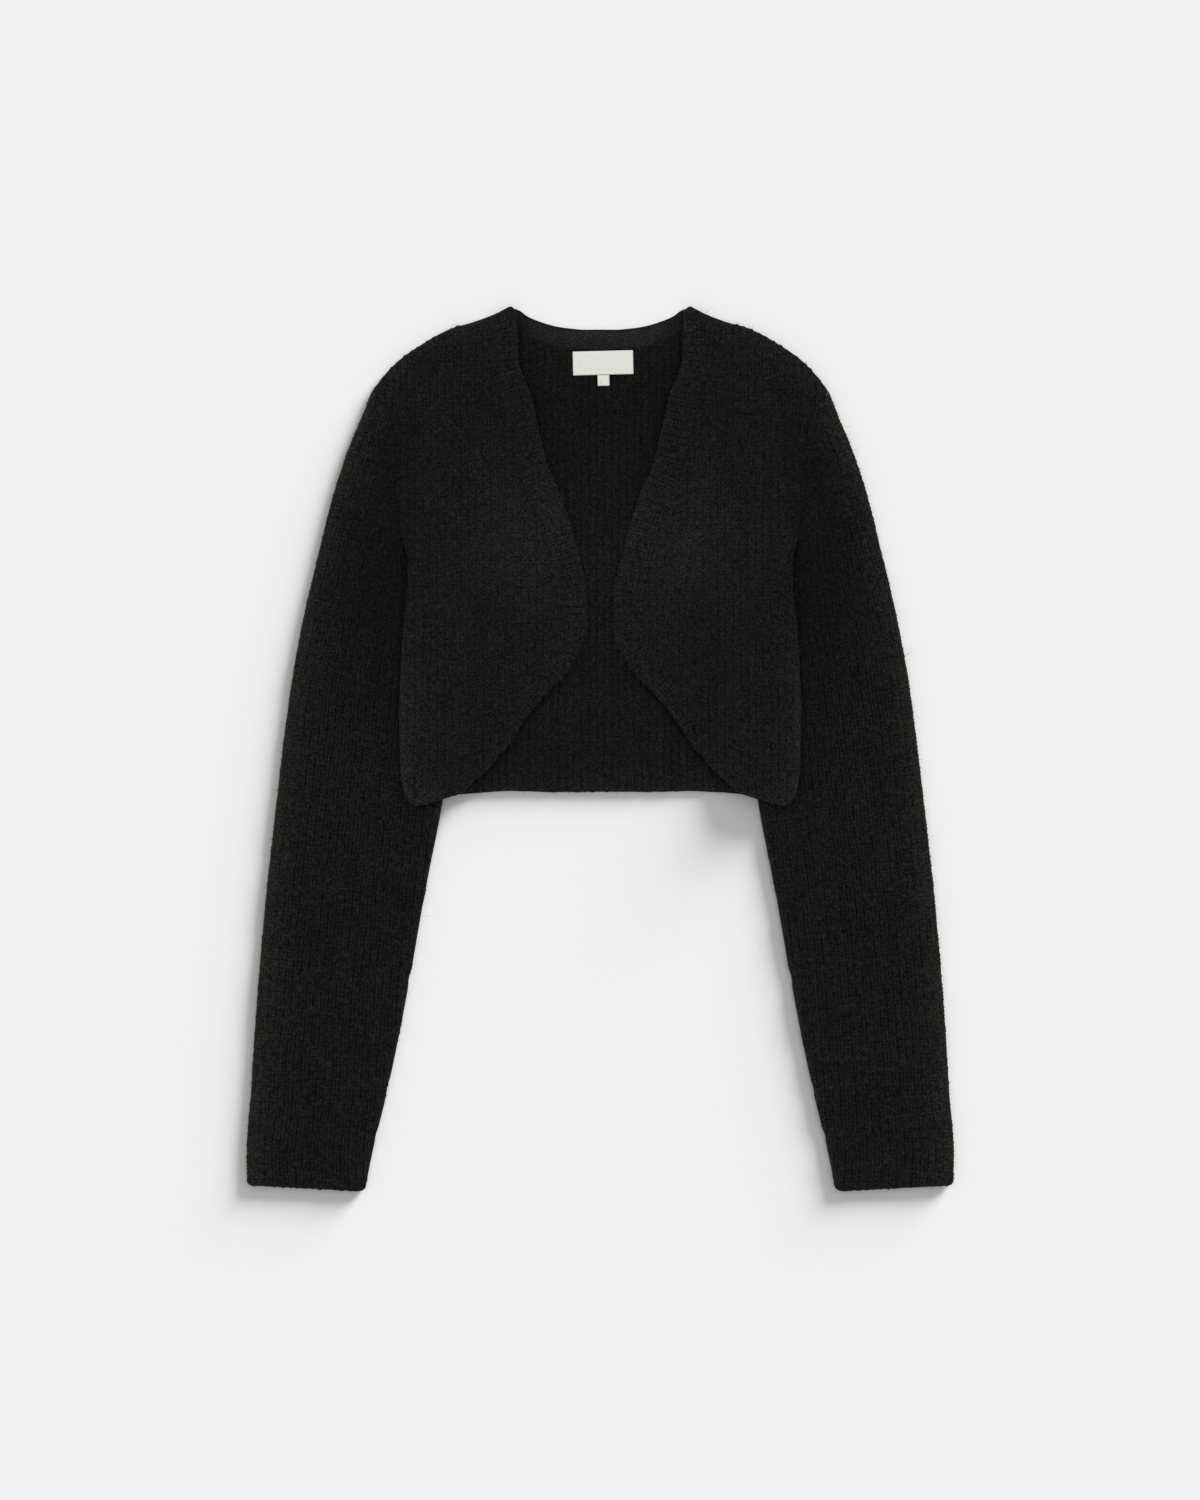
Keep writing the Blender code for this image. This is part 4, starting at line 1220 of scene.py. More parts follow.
@dataclass
class Sleeve:
    """A long sleeve: a flattened tube, open at its armhole and its cuff."""
    seed: int = 0  # chooses how its stitches and its swells vary
    base: float = 6.8  # its height without ribs
    unevenness: float = 0.5  # about the greatest height of its swells
    sway: float = 0.8  # how far slow waves move its ribs
    fold: float = 7.0  # how far in from a fold it is full
    under_fold: float = 3.0  # the same on its underside
    fold_half: float = 0.5  # half the height of a fold's upright face
    hollow_in: float = 3.3  # from a fold to the hollow
    hollow_least: float = 0.8  # least height of the hollow
    armhole_gap: float = 0.15  # from its top end to the body's edge
    armhole_points: int = 200  # points of the armhole's curve
    cuff_round: float = 4.0  # radius of the cuff's corners
    kinks: tuple[float, ...] = (-188.0, -278.0, -317.0)  # heights at which creases draw in the inner fold
    kink: Pair = (0.9, 6.0)  # how far, and over what height
    bend_fade: float = 0.42  # share of the sleeve over which its rows lose the armhole's bend
    # where it bunches up beside the body, at the underarm
    bunch_place: Pair = (170.0, 171.0)
    bunch_reach: float = 24.0  # how far that mound reaches
    bunch_height: float = 3.2  # how high it is
    bunch_start: float = 1.5  # how far from the body's edge it has risen
    clearance: float = 0.4  # least air below the body
    # the part of the sleeve, one in so many, over which its stitches' push on the folds sets in
    calm: float = 60.0
    step: float = 1.22  # between rows of the upper face
    columns: int = 108  # points across the upper face
    under: tuple[int, int] = (180, 38)  # rows and columns of the underside
    hollow: tuple[int, int] = (90, 20)  # rows and columns of the hollow
    hollow_cells: int = 100  # columns of the plan that the hollow's places are read from

    def plan(self, t: Array, share: Array) -> Array:
        """Plan of the sleeve.

        A row runs straight from the outer fold to the inner one, plus the armhole's bend, which
        fades out down the sleeve. Beside the body, rows stay outside its edge.

        Args:
            t: shares of the way from the shoulder to the cuff, one for each row.
            share: shares of the way across, from the outer fold.

        Returns:
            a grid of places.
        """
        ups = np.linspace(SLEEVE_TOP_UP, ARMPIT_UP, self.armhole_points)
        curve = np.column_stack([BODY_SIDE.out_at(ups) + self.armhole_gap, ups])
        run = run_along(curve)
        armhole = np.column_stack([np.interp(share * run[-1], run, curve[:, k]) for k in (0, 1)])
        bend = armhole - (curve[0] + share[:, None] * (curve[-1] - curve[0]))
        outer_up = SLEEVE_TOP_UP + t * (CUFF_UP - SLEEVE_TOP_UP)
        inner_up = SLEEVE_RUNGS.up_at(outer_up)
        first = (t <= 0.0)[:, None]
        outer = np.column_stack([SLEEVE_OUTER.out_at(outer_up), outer_up])
        inner = np.column_stack([SLEEVE_INNER.out_at(inner_up), inner_up])
        outer = np.where(first, curve[0], outer)[:, None]
        inner = np.where(first, curve[-1], inner)[:, None]
        inner[..., 0] += sum(self.kink[0] * bell(inner[..., 1] - up, self.kink[1]) for up in self.kinks)
        fade = np.clip(1.0 - t / self.bend_fade, 0.0, 1.0)[:, None, None] ** 2
        width = np.linalg.norm(inner - outer, axis=-1)
        left = np.clip((outer_up - CUFF_UP) / self.cuff_round, 0.0, 1.0)
        inset = self.cuff_round * (1.0 - np.sqrt(1.0 - (1.0 - left) ** 2))[:, None] / width
        share_in = inset + share * (1.0 - 2.0 * inset)
        places = outer + share_in[..., None] * (inner - outer) + fade * bend
        clear = BODY_SIDE.out_at(places[..., 1]) + self.armhole_gap
        beside = places[..., 1] >= ARMPIT_UP
        places[..., 0] = np.where(beside, np.maximum(places[..., 0], clear), places[..., 0])
        return places

    def knit(self, places: Array) -> Plan:
        """The plan with its stitches: ribs run beside the outer fold, courses squarely to it.

        Args:
            places: a grid of places.

        Returns:
            The plan. Along counts from the cuff up, as on the body.
        """
        edge = places[:, 0]
        ahead = np.gradient(edge, axis=0)
        ahead /= np.linalg.norm(ahead, axis=1)[:, None]
        down = ((places - edge[:, None]) * ahead[:, None]).sum(-1) + run_along(edge)[:, None]
        return strayed(places, run_along(places), -down, self.seed, self.sway)

    def bunch(self, places: Array) -> Array:
        """The soft mound of cloth at the underarm, just outside the body's edge."""
        away = ((places - np.array(self.bunch_place)) ** 2).sum(-1) / self.bunch_reach**2
        start = soft_step((places[..., 0] - BODY_SIDE.out_at(places[..., 1])) / self.bunch_start)
        return self.bunch_height * np.clip(1.0 - away, 0.0, 1.0) ** 2 * start

    def rounded(self, places: Array, radius: float) -> Array:
        """Quarter rounds in from both folds: 0 at a fold, 1 a radius in from it."""
        across = run_along(places)
        return quarter_round(np.minimum(across, across[:, -1:] - across), radius)

    def top(self, places: Array) -> Arrays:
        """The upper face without ribs.

        It is half the sleeve's height at the folds and all of it inside them. At its open ends it
        comes down to a single layer that lies on another.

        Args:
            places: a grid of places.

        Returns:
            Its height, its roundness at the folds, and its fullness at the ends.
        """
        round_fold = self.rounded(places, self.fold)
        run = run_along(places[:, places.shape[1] // 2])
        ends = quarter_round(np.minimum(run, run[-1] - run), LIE.round)[:, None]
        ends = np.maximum(ends, LIE.flat_seam(places))
        full = 0.5 * self.base + self.fold_half + (0.5 * self.base - self.fold_half) * round_fold
        seat = LIE.crest + LIE.gap + LIE.rim
        swell = undulation(places, self.seed, self.unevenness) + creased(SLEEVE_CREASES, places)
        high = np.minimum(full, seat + (full - seat) * ends) + self.bunch(places)
        return high + swell * round_fold * ends, round_fold, ends

    def capped(self, places: Array, height: Array) -> Array:
        """Heights kept below the body wherever that covers the sleeve."""
        most = LIE.over_sleeve - self.clearance
        return np.where(beside_body(places), height, np.minimum(height, most))

    def build(self, item: Item) -> Cloth:
        """Builds the tube: upper face, plain underside, and the hollow between its ends.

        Args:
            item: the piece to build.

        Returns:
            The piece, its upper face and its area all round.
        """
        rows = spread(0.0, 1.0, self.step / (SLEEVE_TOP_UP - CUFF_UP))
        fine = self.knit(self.plan(rows, np.linspace(0.0, 1.0, self.columns + 1)))
        relief = KNIT.relief(fine.rib, fine.course, self.seed)
        high, round_fold, ends = self.top(fine.places)
        full = round_fold * ends
        height = high + LIE.rib * full - KNIT.depth * (1.0 - relief) * full
        height = self.capped(fine.places, height + KNIT.tuft * tufts(fine.places, self.seed) * full)
        away = np.clip(rows[:, None] * self.calm, 0.0, 1.0)
        # painted shade in the valleys, on the sleeve's painted light and shade
        painted_shading = PAINTED_SHADING.with_valley_shade(relief, PAINTED_SHADING.sleeve(fine.places, run_along(fine.places)))
        upper = fine.face(height, painted_shading, KNIT.pushes(relief) * (1.0 - full) * away)
        wide = self.knit(self.plan(*(np.linspace(0.0, 1.0, count + 1) for count in self.under)))
        low = (0.5 * self.base - self.fold_half) * (1.0 - self.rounded(wide.places, self.under_fold))
        shell = Shell()
        upper_ids = shell.grid(upper)
        lower_ids = shell.grid(wide.face(low))
        for fold in (0, -1):
            shell.strip(upper_ids[:, fold], lower_ids[:, fold])
        self.line_hollow(shell, upper_ids, lower_ids)
        return Cloth(shell.build(item), upper.points, 2.0 * plan_area(fine.places))

    def line_hollow(self, shell: Shell, upper: Array, lower: Array) -> None:
        """Adds the hollow's roof and floor, and joins their ends to the tube's.

        Each row of the hollow is a row of the sleeve's plan, drawn in from both its folds.

        Args:
            shell: the sleeve so far.
            upper: point numbers of its upper face.
            lower: point numbers of its underside.
        """
        rows, columns = (np.linspace(0.0, 1.0, count + 1) for count in self.hollow)
        outline = self.plan(rows, np.array([0.0, 1.0]))
        width = np.linalg.norm(outline[:, 1] - outline[:, 0], axis=1)
        inset = (self.hollow_in / width)[:, None]
        whole = self.plan(rows, np.linspace(0.0, 1.0, self.hollow_cells + 1))
        cell = (inset + columns * (1.0 - 2.0 * inset)) * self.hollow_cells
        low = np.minimum(cell.astype(int), self.hollow_cells - 1)
        row = np.arange(len(cell))[:, None]
        places = whole[row, low] + (cell - low)[..., None] * (whole[row, low + 1] - whole[row, low])
        floor = np.full(cell.shape, LIE.wall)
        roof = np.maximum(self.capped(places, self.top(places)[0]) - LIE.wall, floor + self.hollow_least)
        plain = self.knit(places)
        roof_ids = shell.grid(plain.face(roof, 0.0))
        floor_ids = shell.grid(plain.face(floor, 0.0))
        for fold in (0, -1):
            shell.strip(roof_ids[:, fold], floor_ids[:, fold])
        for end in (0, -1):
            shell.strip(upper[end], roof_ids[end])
            shell.strip(lower[end], floor_ids[end])
            for fold in (0, -1):
                shell.strip(
                    np.array([upper[end, fold], lower[end, fold]]),
                    np.array([roof_ids[end, fold], floor_ids[end, fold]]))


# ---- Label ----

LABEL_SIZE = (49.6, 19.6, 0.9)
LABEL_MIDDLE = (2.3, 317.1)
TAB_SIZE = (9.7, 8.8, 0.9)


@dataclass(frozen=True)
class Tape:
    """A small bare piece of woven tape that lies on the back."""
    size: Triple  # its length, width and thickness
    middle: Pair  # where its middle lies
    turn: float = math.radians(1.4)  # how far it is turned
    low: float = 3.7  # its underside
    bow: float = 0.35  # how far its middle stands up
    round: float = 0.5  # how far in from an edge it reaches its thickness
    step: float = 0.5  # between its points

    def build(self, item: Item) -> Cloth:
        """Builds the tape: a thin plate, half as thick at its edge, whose middle is a low arch.

        The arch is the product of two cosines, one along the tape and one across it.

        Args:
            item: the piece to build.

        Returns:
            The piece, its upper face and its area.
        """
        length, width, thick = self.size
        u, v = np.meshgrid(spread(-0.5, 0.5, self.step / length), spread(0.5, -0.5, self.step / width))
        along = u * length
        down = v * width
        turned = np.array([[math.cos(self.turn), math.sin(self.turn)],
                           [-math.sin(self.turn), math.cos(self.turn)]])
        places = np.stack([along, down], axis=-1) @ turned + np.array(self.middle)
        edge = np.minimum(0.5 * length - np.abs(along), 0.5 * width - np.abs(down))
        low = self.low + self.bow * np.cos(math.pi * u) * np.cos(math.pi * v)
        high = low + thick * (0.5 + 0.5 * quarter_round(edge, self.round))
        weave = Plan(places, along, down)
        return plate(item, weave.face(high), weave.face(low), plan_area(places))


# ---- Loose fibres ----

def around_one(rng: np.random.Generator, evenness: float, count: int) -> Array:
    """(count, 1) random values of mean 1, spread as a gamma curve; the more even, the closer."""
    return rng.gamma(evenness, 1.0 / evenness, (count, 1))


@dataclass(frozen=True)
class Fibres:
    """Loose ends of the brushed yarn: thin three-sided hairs, bent once, that end in a point."""
    spacing: float = 12.5  # square millimetres of cloth for each fibre
    length: float = 5.0  # mean length
    length_even: float = 6.0  # how even lengths are
    radius: float = 0.10  # at the root
    taper: float = 0.75  # radius at the middle, as a share of that
    stand: float = 0.32  # mean angle at which a fibre leaves the cloth
    stand_even: float = 3.0  # how even its slopes are
    upright: float = 0.6  # how strongly the cloth's own way out is turned upwards
    curl: float = 0.28  # how far its middle strays to the side, as a share of its length
    reach: float = 0.95  # how far ahead its tip is, as a share of its length
    nod: float = 0.7  # share of its slope that is left at the tip
    rooted: float = 0.3  # how deep in the cloth it starts
    floor: float = 0.05  # least height of its points

    def build(self, item: Item, cloth: Cloth, shown: Array, seed: int) -> Object:
        """Grows fibres from the upper face of a piece.

        A root is a random place in a cell that is drawn by its area. A fibre leaves it in a
        random direction, close to the cloth, and curls to one side on its way.

        Args:
            item: the fibres' own name, half and finish.
            cloth: the piece that they grow from.
            shown: where it shows, (rows, columns).
            seed: chooses the fibres.

        Returns:
            The joined fibres as one object.
        """
        rng = np.random.default_rng(seed)
        upper = cloth.upper
        along = (upper[1:, :-1] - upper[:-1, :-1]).reshape(-1, 3)
        across = (upper[:-1, 1:] - upper[:-1, :-1]).reshape(-1, 3)
        normal = np.cross(across, along)
        area = np.linalg.norm(normal, axis=1)
        normal = normal / np.maximum(area, 1e-9)[:, None]
        normal = normal * np.where(normal[:, 2:] < 0.0, -1.0, 1.0)
        total = np.cumsum(area * shown[:-1, :-1].ravel())
        count = int(total[-1] / self.spacing)
        cell = np.searchsorted(total, rng.uniform(0.0, total[-1], count))
        share = rng.uniform(0.0, 1.0, (2, count, 1))
        root = upper[:-1, :-1].reshape(-1, 3)[cell] + share[0] * along[cell] + share[1] * across[cell]
        up = normal[cell] + np.array([0.0, 0.0, self.upright])
        up = up / np.linalg.norm(up, axis=1)[:, None]
        turn = rng.uniform(0.0, math.tau, count)
        flat = np.column_stack([np.cos(turn), np.sin(turn), np.zeros(count)])
        flat = flat - up * (flat * up).sum(1)[:, None]
        side = np.cross(up, flat)
        length = self.length * around_one(rng, self.length_even, count)
        lift = math.tan(self.stand) * around_one(rng, self.stand_even, count)
        bends = self.curl * rng.normal(0.0, 1.0, (2, count, 1))
        middle = root + length * (0.5 * flat + 0.5 * lift * up + 0.5 * bends[0] * side)
        tip = root + length * (self.reach * flat + self.nod * lift * up + bends[1] * side)
        return self.join(item, (root - self.rooted * up, middle, tip), (side, up))

    def join(self, item: Item, line: Arrays, across: tuple[Array, Array]) -> Object:
        """Joins fibres into one mesh: rings of three points at root and middle, and one at the tip.

        Args:
            item: the fibres' own name, half and finish.
            line: roots, middles and tips.
            across: directions across each fibre, to its side and up.

        Returns:
            The object.
        """
        root, middle, tip = (points[:, None] for points in line)
        side, up = (direction[:, None] for direction in across)
        corner = math.tau * np.arange(3)[None, :, None] / 3.0
        ring = self.radius * (np.cos(corner) * side + np.sin(corner) * up)
        points = np.concatenate([root + ring, middle + self.taper * ring, tip], axis=1)
        points[..., 2] = np.maximum(points[..., 2], self.floor)
        count, corners, _ = points.shape
        pattern = np.array([
            (0, 1, 4), (0, 4, 3), (1, 2, 5), (1, 5, 4), (2, 0, 3), (2, 3, 5),
            (3, 4, 6), (4, 5, 6), (5, 3, 6), (2, 1, 0)])
        faces = (corners * np.arange(count)[:, None, None] + pattern).reshape(-1, 3)
        if item.sign < 0.0:
            faces = faces[:, ::-1]
        mesh = bpy.data.meshes.new(item.name)
        mesh.from_pydata(metres(points.reshape(-1, 3), item.sign).tolist(), [], faces.tolist())
        tone = mesh.attributes.new("tone", "FLOAT", "POINT")
        shade = np.random.default_rng(count).uniform(0.0, 1.0, count).repeat(corners)
        tone.data.foreach_set("value", shade.astype(np.float32))
        return show(item, mesh)


# ---- Finishes ----

class Nodes:
    """A material's nodes, and short ways to add to them."""

    def __init__(self, name: str) -> None:
        """Starts a material with a plain shader.

        Args:
            name: the material's name.
        """
        self.material = bpy.data.materials.new(name)
        self.material.use_nodes = True
        self.tree = self.material.node_tree
        self.shader = self.tree.nodes["Principled BSDF"]

    def add(self, kind: str, inputs: dict[str, object], **settings: object) -> bpy.types.Node:
        """Adds a node, sets it up, and links or sets its inputs.

        Args:
            kind: the node's type.
            inputs: a socket to link from, or a value, for each input's name or number.
            settings: the node's own settings.

        Returns:
            The node.
        """
        node = self.tree.nodes.new(kind)
        for name, value in settings.items():
            setattr(node, name, value)
        for key, value in inputs.items():
            if isinstance(value, Socket):
                self.tree.links.new(value, node.inputs[key])
            else:
                node.inputs[key].default_value = value
        return node

    def math(self, operation: str, *values: object) -> Socket:
        """A Math node's result."""
        return self.add("ShaderNodeMath", dict(enumerate(values)), operation=operation).outputs[0]

    def product(self, first: object, *others: object) -> Socket:
        """Values multiplied one after the other."""
        for value in others:
            first = self.math("MULTIPLY", first, value)
        return first

    def line(self, value: object, slope: float, start: float) -> Socket:
        """A value times a slope, plus a start."""
        return self.math("MULTIPLY_ADD", value, slope, start)

    def vector(self, operation: str, one: object, two: object) -> Socket:
        """A Vector Math node's result; for SCALE, the second is a number."""
        inputs = {0: one, "Scale" if operation == "SCALE" else 1: two}
        return self.add("ShaderNodeVectorMath", inputs, operation=operation).outputs[0]

    def mix(self, share: object, one: object, two: object) -> Socket:
        """Two colours mixed by a share."""
        return self.add("ShaderNodeMix", {0: share, 6: one, 7: two}, data_type="RGBA").outputs[2]

    def rise(self, value: object, low: float, high: float) -> Socket:
        """0 up to the low value, 1 from the high one on, and a soft step between."""
        inputs = {"Value": value, "From Min": low, "From Max": high}
        node = self.add("ShaderNodeMapRange", inputs, interpolation_type="SMOOTHSTEP")
        return node.outputs["Result"]

    def fall(self, value: object, low: float, high: float) -> Socket:
        """1 up to the low value, 0 from the high one on, and a soft step between."""
        return self.rise(self.math("MULTIPLY", value, -1.0), -high, -low)

    def noise(self, where: Socket, scale: float, detail: float, output: str = "Fac") -> Socket:
        """Noise at a scale given in lumps per metre."""
        inputs = {"Vector": where, "Scale": scale, "Detail": detail}
        return self.add("ShaderNodeTexNoise", inputs).outputs[output]

    def place(self) -> Socket:
        """Object coordinates."""
        return self.add("ShaderNodeTexCoord", {}).outputs["Object"]

    def knit(self) -> tuple[Socket, Socket, Socket]:
        """Rib, course and painted light and shade from the piece's attribute."""
        read = self.add("ShaderNodeAttribute", {}, attribute_name="knit")
        parts = self.add("ShaderNodeSeparateXYZ", {0: read.outputs["Vector"]})
        return parts.outputs[0], parts.outputs[1], parts.outputs[2]

    def stitches(self, rib: Socket, course: Socket, slant: float) -> tuple[Socket, Socket]:
        """The V stitches of a knit.

        Args:
            rib: ribs across.
            course: courses along.
            slant: courses by which a V's legs climb over one rib.

        Returns:
            How far a place is from its rib's middle, in ribs, and the cosine of the V's course.
        """
        off = self.math("ABSOLUTE", self.math("SUBTRACT", rib, self.math("ROUND", rib)))
        late = self.math("SUBTRACT", course, self.math("MULTIPLY", off, slant))
        return off, self.math("COSINE", self.math("MULTIPLY", late, math.tau))

    def bump(self, height: Socket, distance: float) -> Socket:
        """A bump of a real depth in metres."""
        inputs = {"Height": height, "Distance": distance, "Strength": 1.0}
        return self.add("ShaderNodeBump", inputs).outputs[0]

    def finish(self, colour: object, normal: Socket | None, **constants: float) -> Material:
        """Finishes the shader.

        Args:
            colour: its colour, linked or set.
            normal: its normal, if it has one.
            constants: its other values, by their sockets' names.

        Returns:
            The material.
        """
        if isinstance(colour, Socket):
            self.tree.links.new(colour, self.shader.inputs["Base Color"])
        else:
            self.shader.inputs["Base Color"].default_value = colour
        if normal is not None:
            self.tree.links.new(normal, self.shader.inputs["Normal"])
        for name, value in constants.items():
            socket = name.replace("_", " ").title().replace("Ior", "IOR")
            self.shader.inputs[socket].default_value = value
        return self.material


def tint(level: float, hue: Triple) -> tuple[float, float, float, float]:
    """A hue at a brightness level."""
    return (*(level * part for part in hue), 1.0)


@dataclass(frozen=True)
class KnitFinish:
    """Near-black brushed yarn: short strokes of matted fibre over stitches, with painted shade in the gaps.
    """
    hue: Triple = (1.08, 1.0, 0.82)  # the yarn's colour, to be scaled
    yarn: float = 0.0102  # its mean brightness
    contrast: float = 1.15  # how far strokes stand out from it
    mean_stroke: float = 0.45  # the strokes' mean, which leaves it as it is
    grain: float = 3.4  # how far single points stand out from it
    grain_scale: float = 820.0  # points per metre
    least: float = 0.15  # the lowest share of it
    gap: float = 0.53  # share of brightness lost between two ribs, painted shade
    # distances from a rib's middle between which a gap sets in, in ribs
    gap_off: Pair = (0.32, 0.47)
    # painted light level from which the gaps' painted shade fades, and how fast it does
    gap_light_fade: Pair = (1.04, 1.8)
    gap_least: float = 0.25  # share of the gaps that always shows
    # noise levels between which gaps are broken by fibres that cross them
    broken: Pair = (0.22, 0.66)
    broken_scale: float = 230.0  # such breaks per metre
    leg: float = 0.34  # share lost between a stitch's two legs, along a rib's middle, painted shade
    leg_off: Pair = (0.03, 0.17)  # distances from that middle between which it has faded
    rung: float = 0.36  # share lost between two stitches, painted shade
    blotch: float = 0.20  # how much brightness varies over some centimetres
    blotch_scale: float = 32.0  # such blotches per metre
    # a stroke's width, length and thickness in metres
    stroke: Triple = (0.0010, 0.0036, 0.0020)
    # noise levels between which a stroke rises from dark to light
    stroke_levels: Pair = (0.47, 0.76)
    turns: tuple[float, ...] = (0.12, 0.62, 2.60)  # directions of the strokes
    warp: float = 0.0022  # how far strokes are bent, in metres
    warp_scale: float = 180.0  # such bends per metre
    slant: float = KNIT.slant  # courses by which a V's legs climb over one rib
    stitch_lump: float = 0.15  # height of a stitch in the bump, beside that of a stroke
    bump: float = 0.0006  # depth of the bump, in metres

    def make(self, name: str) -> Material:
        """Makes the material.

        Brightness is the sum of strokes and grain, times what the painted shade of gaps, legs and rungs and
        slow blotches leave of it, times the painted light and shade from the piece's attribute.

        Args:
            name: its name.

        Returns:
            The material.
        """
        nodes = Nodes(name)
        place = nodes.place()
        rib, course, painted_shading = nodes.knit()
        off, stitch = nodes.stitches(rib, course, self.slant)
        strokes = self.strokes(nodes, place)
        grain = nodes.noise(place, self.grain_scale, 1.0)
        bright = nodes.line(strokes, self.contrast, 1.0 - self.mean_stroke * self.contrast)
        bright = nodes.math("ADD", bright, nodes.line(grain, self.grain, -0.5 * self.grain))
        bright = nodes.math("MAXIMUM", bright, self.least)
        broken = nodes.rise(nodes.noise(place, self.broken_scale, 1.0), *self.broken)
        # where the painted light is low the painted shade of gaps and legs shows in full, and where it is
        # high it fades
        start, fall = self.gap_light_fade
        bare = nodes.line(painted_shading, -fall, 1.0 + fall * start)
        bare = nodes.math("MINIMUM", nodes.math("MAXIMUM", bare, self.gap_least), 1.0)
        gap = nodes.product(nodes.rise(off, *self.gap_off), broken, bare)
        legs = nodes.product(nodes.fall(off, *self.leg_off), broken, bare)
        rung = nodes.product(nodes.fall(stitch, -1.0, 0.0), broken)
        slow = nodes.noise(place, self.blotch_scale, 2.0)
        # painted shade of gaps, legs and rungs, slow blotches of tone, and the painted light and shade from
        # the attribute
        shade = nodes.product(
            nodes.line(gap, -self.gap, 1.0), nodes.line(legs, -self.leg, 1.0),
            nodes.line(rung, -self.rung, 1.0), nodes.line(slow, 2.0 * self.blotch, 1.0 - self.blotch), painted_shading)
        colour = nodes.vector("SCALE", self.hue, nodes.product(bright, shade, self.yarn))
        lumps = nodes.math("MULTIPLY_ADD", stitch, self.stitch_lump, nodes.math("ADD", strokes, grain))
        return nodes.finish(
            colour, nodes.bump(lumps, self.bump), roughness=0.95, specular_ior_level=0.06,
            sheen_weight=0.03, sheen_roughness=0.5)

    def strokes(self, nodes: Nodes, place: Socket) -> Socket:
        """Bent strokes in several directions: the greatest of stretched noises.

        Args:
            nodes: the material's nodes.
            place: object coordinates.

        Returns:
            Brightness of the strokes, from 0 to 1.
        """
        bend = nodes.noise(place, self.warp_scale, 2.0, "Color")
        bend = nodes.vector("SUBTRACT", bend, (0.5, 0.5, 0.5))
        bent = nodes.vector("ADD", place, nodes.vector("SCALE", bend, 2.0 * self.warp))
        most = 0.0
        for turn in self.turns:
            inputs = {"Vector": bent, "Location": (turn, turn, 0.0), "Rotation": (0.0, 0.0, turn),
                      "Scale": self.stroke}
            turned = nodes.add("ShaderNodeMapping", inputs, vector_type="TEXTURE").outputs[0]
            most = nodes.math("MAXIMUM", most, nodes.noise(turned, 1.0, 1.0))
        return nodes.rise(most, *self.stroke_levels)


@dataclass(frozen=True)
class NeckFinish:
    """The neck band's finer, smoother knit, a little lighter than the ribs."""
    hue: Triple = (1.07, 1.0, 0.93)  # its colour, to be scaled
    yarn: float = 0.0152  # its mean brightness
    grain: float = 3.6  # how far single points stand out from it
    grain_scale: float = 620.0  # points per metre
    stitch: float = 0.10  # how far its stitches do
    slant: float = 1.2  # stitches by which a V's legs climb over its width
    blotch: float = 0.45  # how much brightness varies along it
    blotch_scale: float = 110.0  # such blotches per metre
    stitch_lump: float = 0.3  # height of a stitch in the bump, beside that of the grain
    bump: float = 0.0003  # depth of the bump, in metres

    def make(self, name: str) -> Material:
        """Makes the material: small V stitches from the piece's stitch counts.

        Args:
            name: its name.

        Returns:
            The material.
        """
        nodes = Nodes(name)
        place = nodes.place()
        rib, course, painted_shading = nodes.knit()
        _, stitch = nodes.stitches(rib, course, self.slant)
        wale = nodes.math("COSINE", nodes.math("MULTIPLY", rib, math.tau))
        pattern = nodes.math("ADD", wale, stitch)
        grain = nodes.noise(place, self.grain_scale, 2.0)
        slow = nodes.noise(place, self.blotch_scale, 2.0)
        bright = nodes.line(grain, self.grain, 1.0 - 0.5 * self.grain)
        bright = nodes.math("ADD", bright, nodes.math("MULTIPLY", pattern, self.stitch))
        blotch = nodes.line(slow, 2.0 * self.blotch, 1.0 - self.blotch)
        # times the painted shade from the band's attribute
        level = nodes.product(nodes.product(bright, blotch), nodes.product(painted_shading, self.yarn))
        lumps = nodes.math("MULTIPLY_ADD", pattern, self.stitch_lump, grain)
        return nodes.finish(
            nodes.vector("SCALE", self.hue, level), nodes.bump(lumps, self.bump), roughness=0.9,
            specular_ior_level=0.08, sheen_weight=0.03, sheen_roughness=0.5)


@dataclass(frozen=True)
class TapeFinish:
    """Off-white satin tape: fine slanted weave with slightly uneven threads."""
    hue: Triple = (1.0, 1.0, 0.925)  # its colour, to be scaled
    gap: float = 0.58  # brightness between threads
    thread: float = 0.825  # brightness on them
    pitch: float = 0.42  # from one thread to the next
    lean: float = 0.5  # how fast threads move along as they go down the tape
    pick: float = 1.4  # how many threads cross them in a pitch
    pick_height: float = 0.6  # how high those are, beside the others
    levels: Pair = (-1.4, 1.6)  # heights between which brightness rises
    uneven_scale: float = 700.0  # lumps per metre
    bump: float = 0.00004  # depth of the bump, in metres

    def make(self, name: str) -> Material:
        """Makes the material: sines of the distances along and down the tape, and a noise.

        Args:
            name: its name.

        Returns:
            The material.
        """
        nodes = Nodes(name)
        along, down, _ = nodes.knit()
        turn = math.tau / self.pitch
        slanted = nodes.math("ADD", nodes.product(along, turn), nodes.product(down, self.lean * turn))
        thread = nodes.math("SINE", slanted)
        pick = nodes.math("SINE", nodes.product(down, self.pick * turn))
        uneven = nodes.noise(nodes.place(), self.uneven_scale, 2.0)
        height = nodes.math("ADD", thread, nodes.product(pick, self.pick_height))
        height = nodes.math("ADD", height, uneven)
        level = nodes.rise(height, *self.levels)
        colour = nodes.mix(level, tint(self.gap, self.hue), tint(self.thread, self.hue))
        return nodes.finish(
            colour, nodes.bump(height, self.bump), roughness=0.62, specular_ior_level=0.35,
            sheen_weight=0.1, sheen_roughness=0.4)


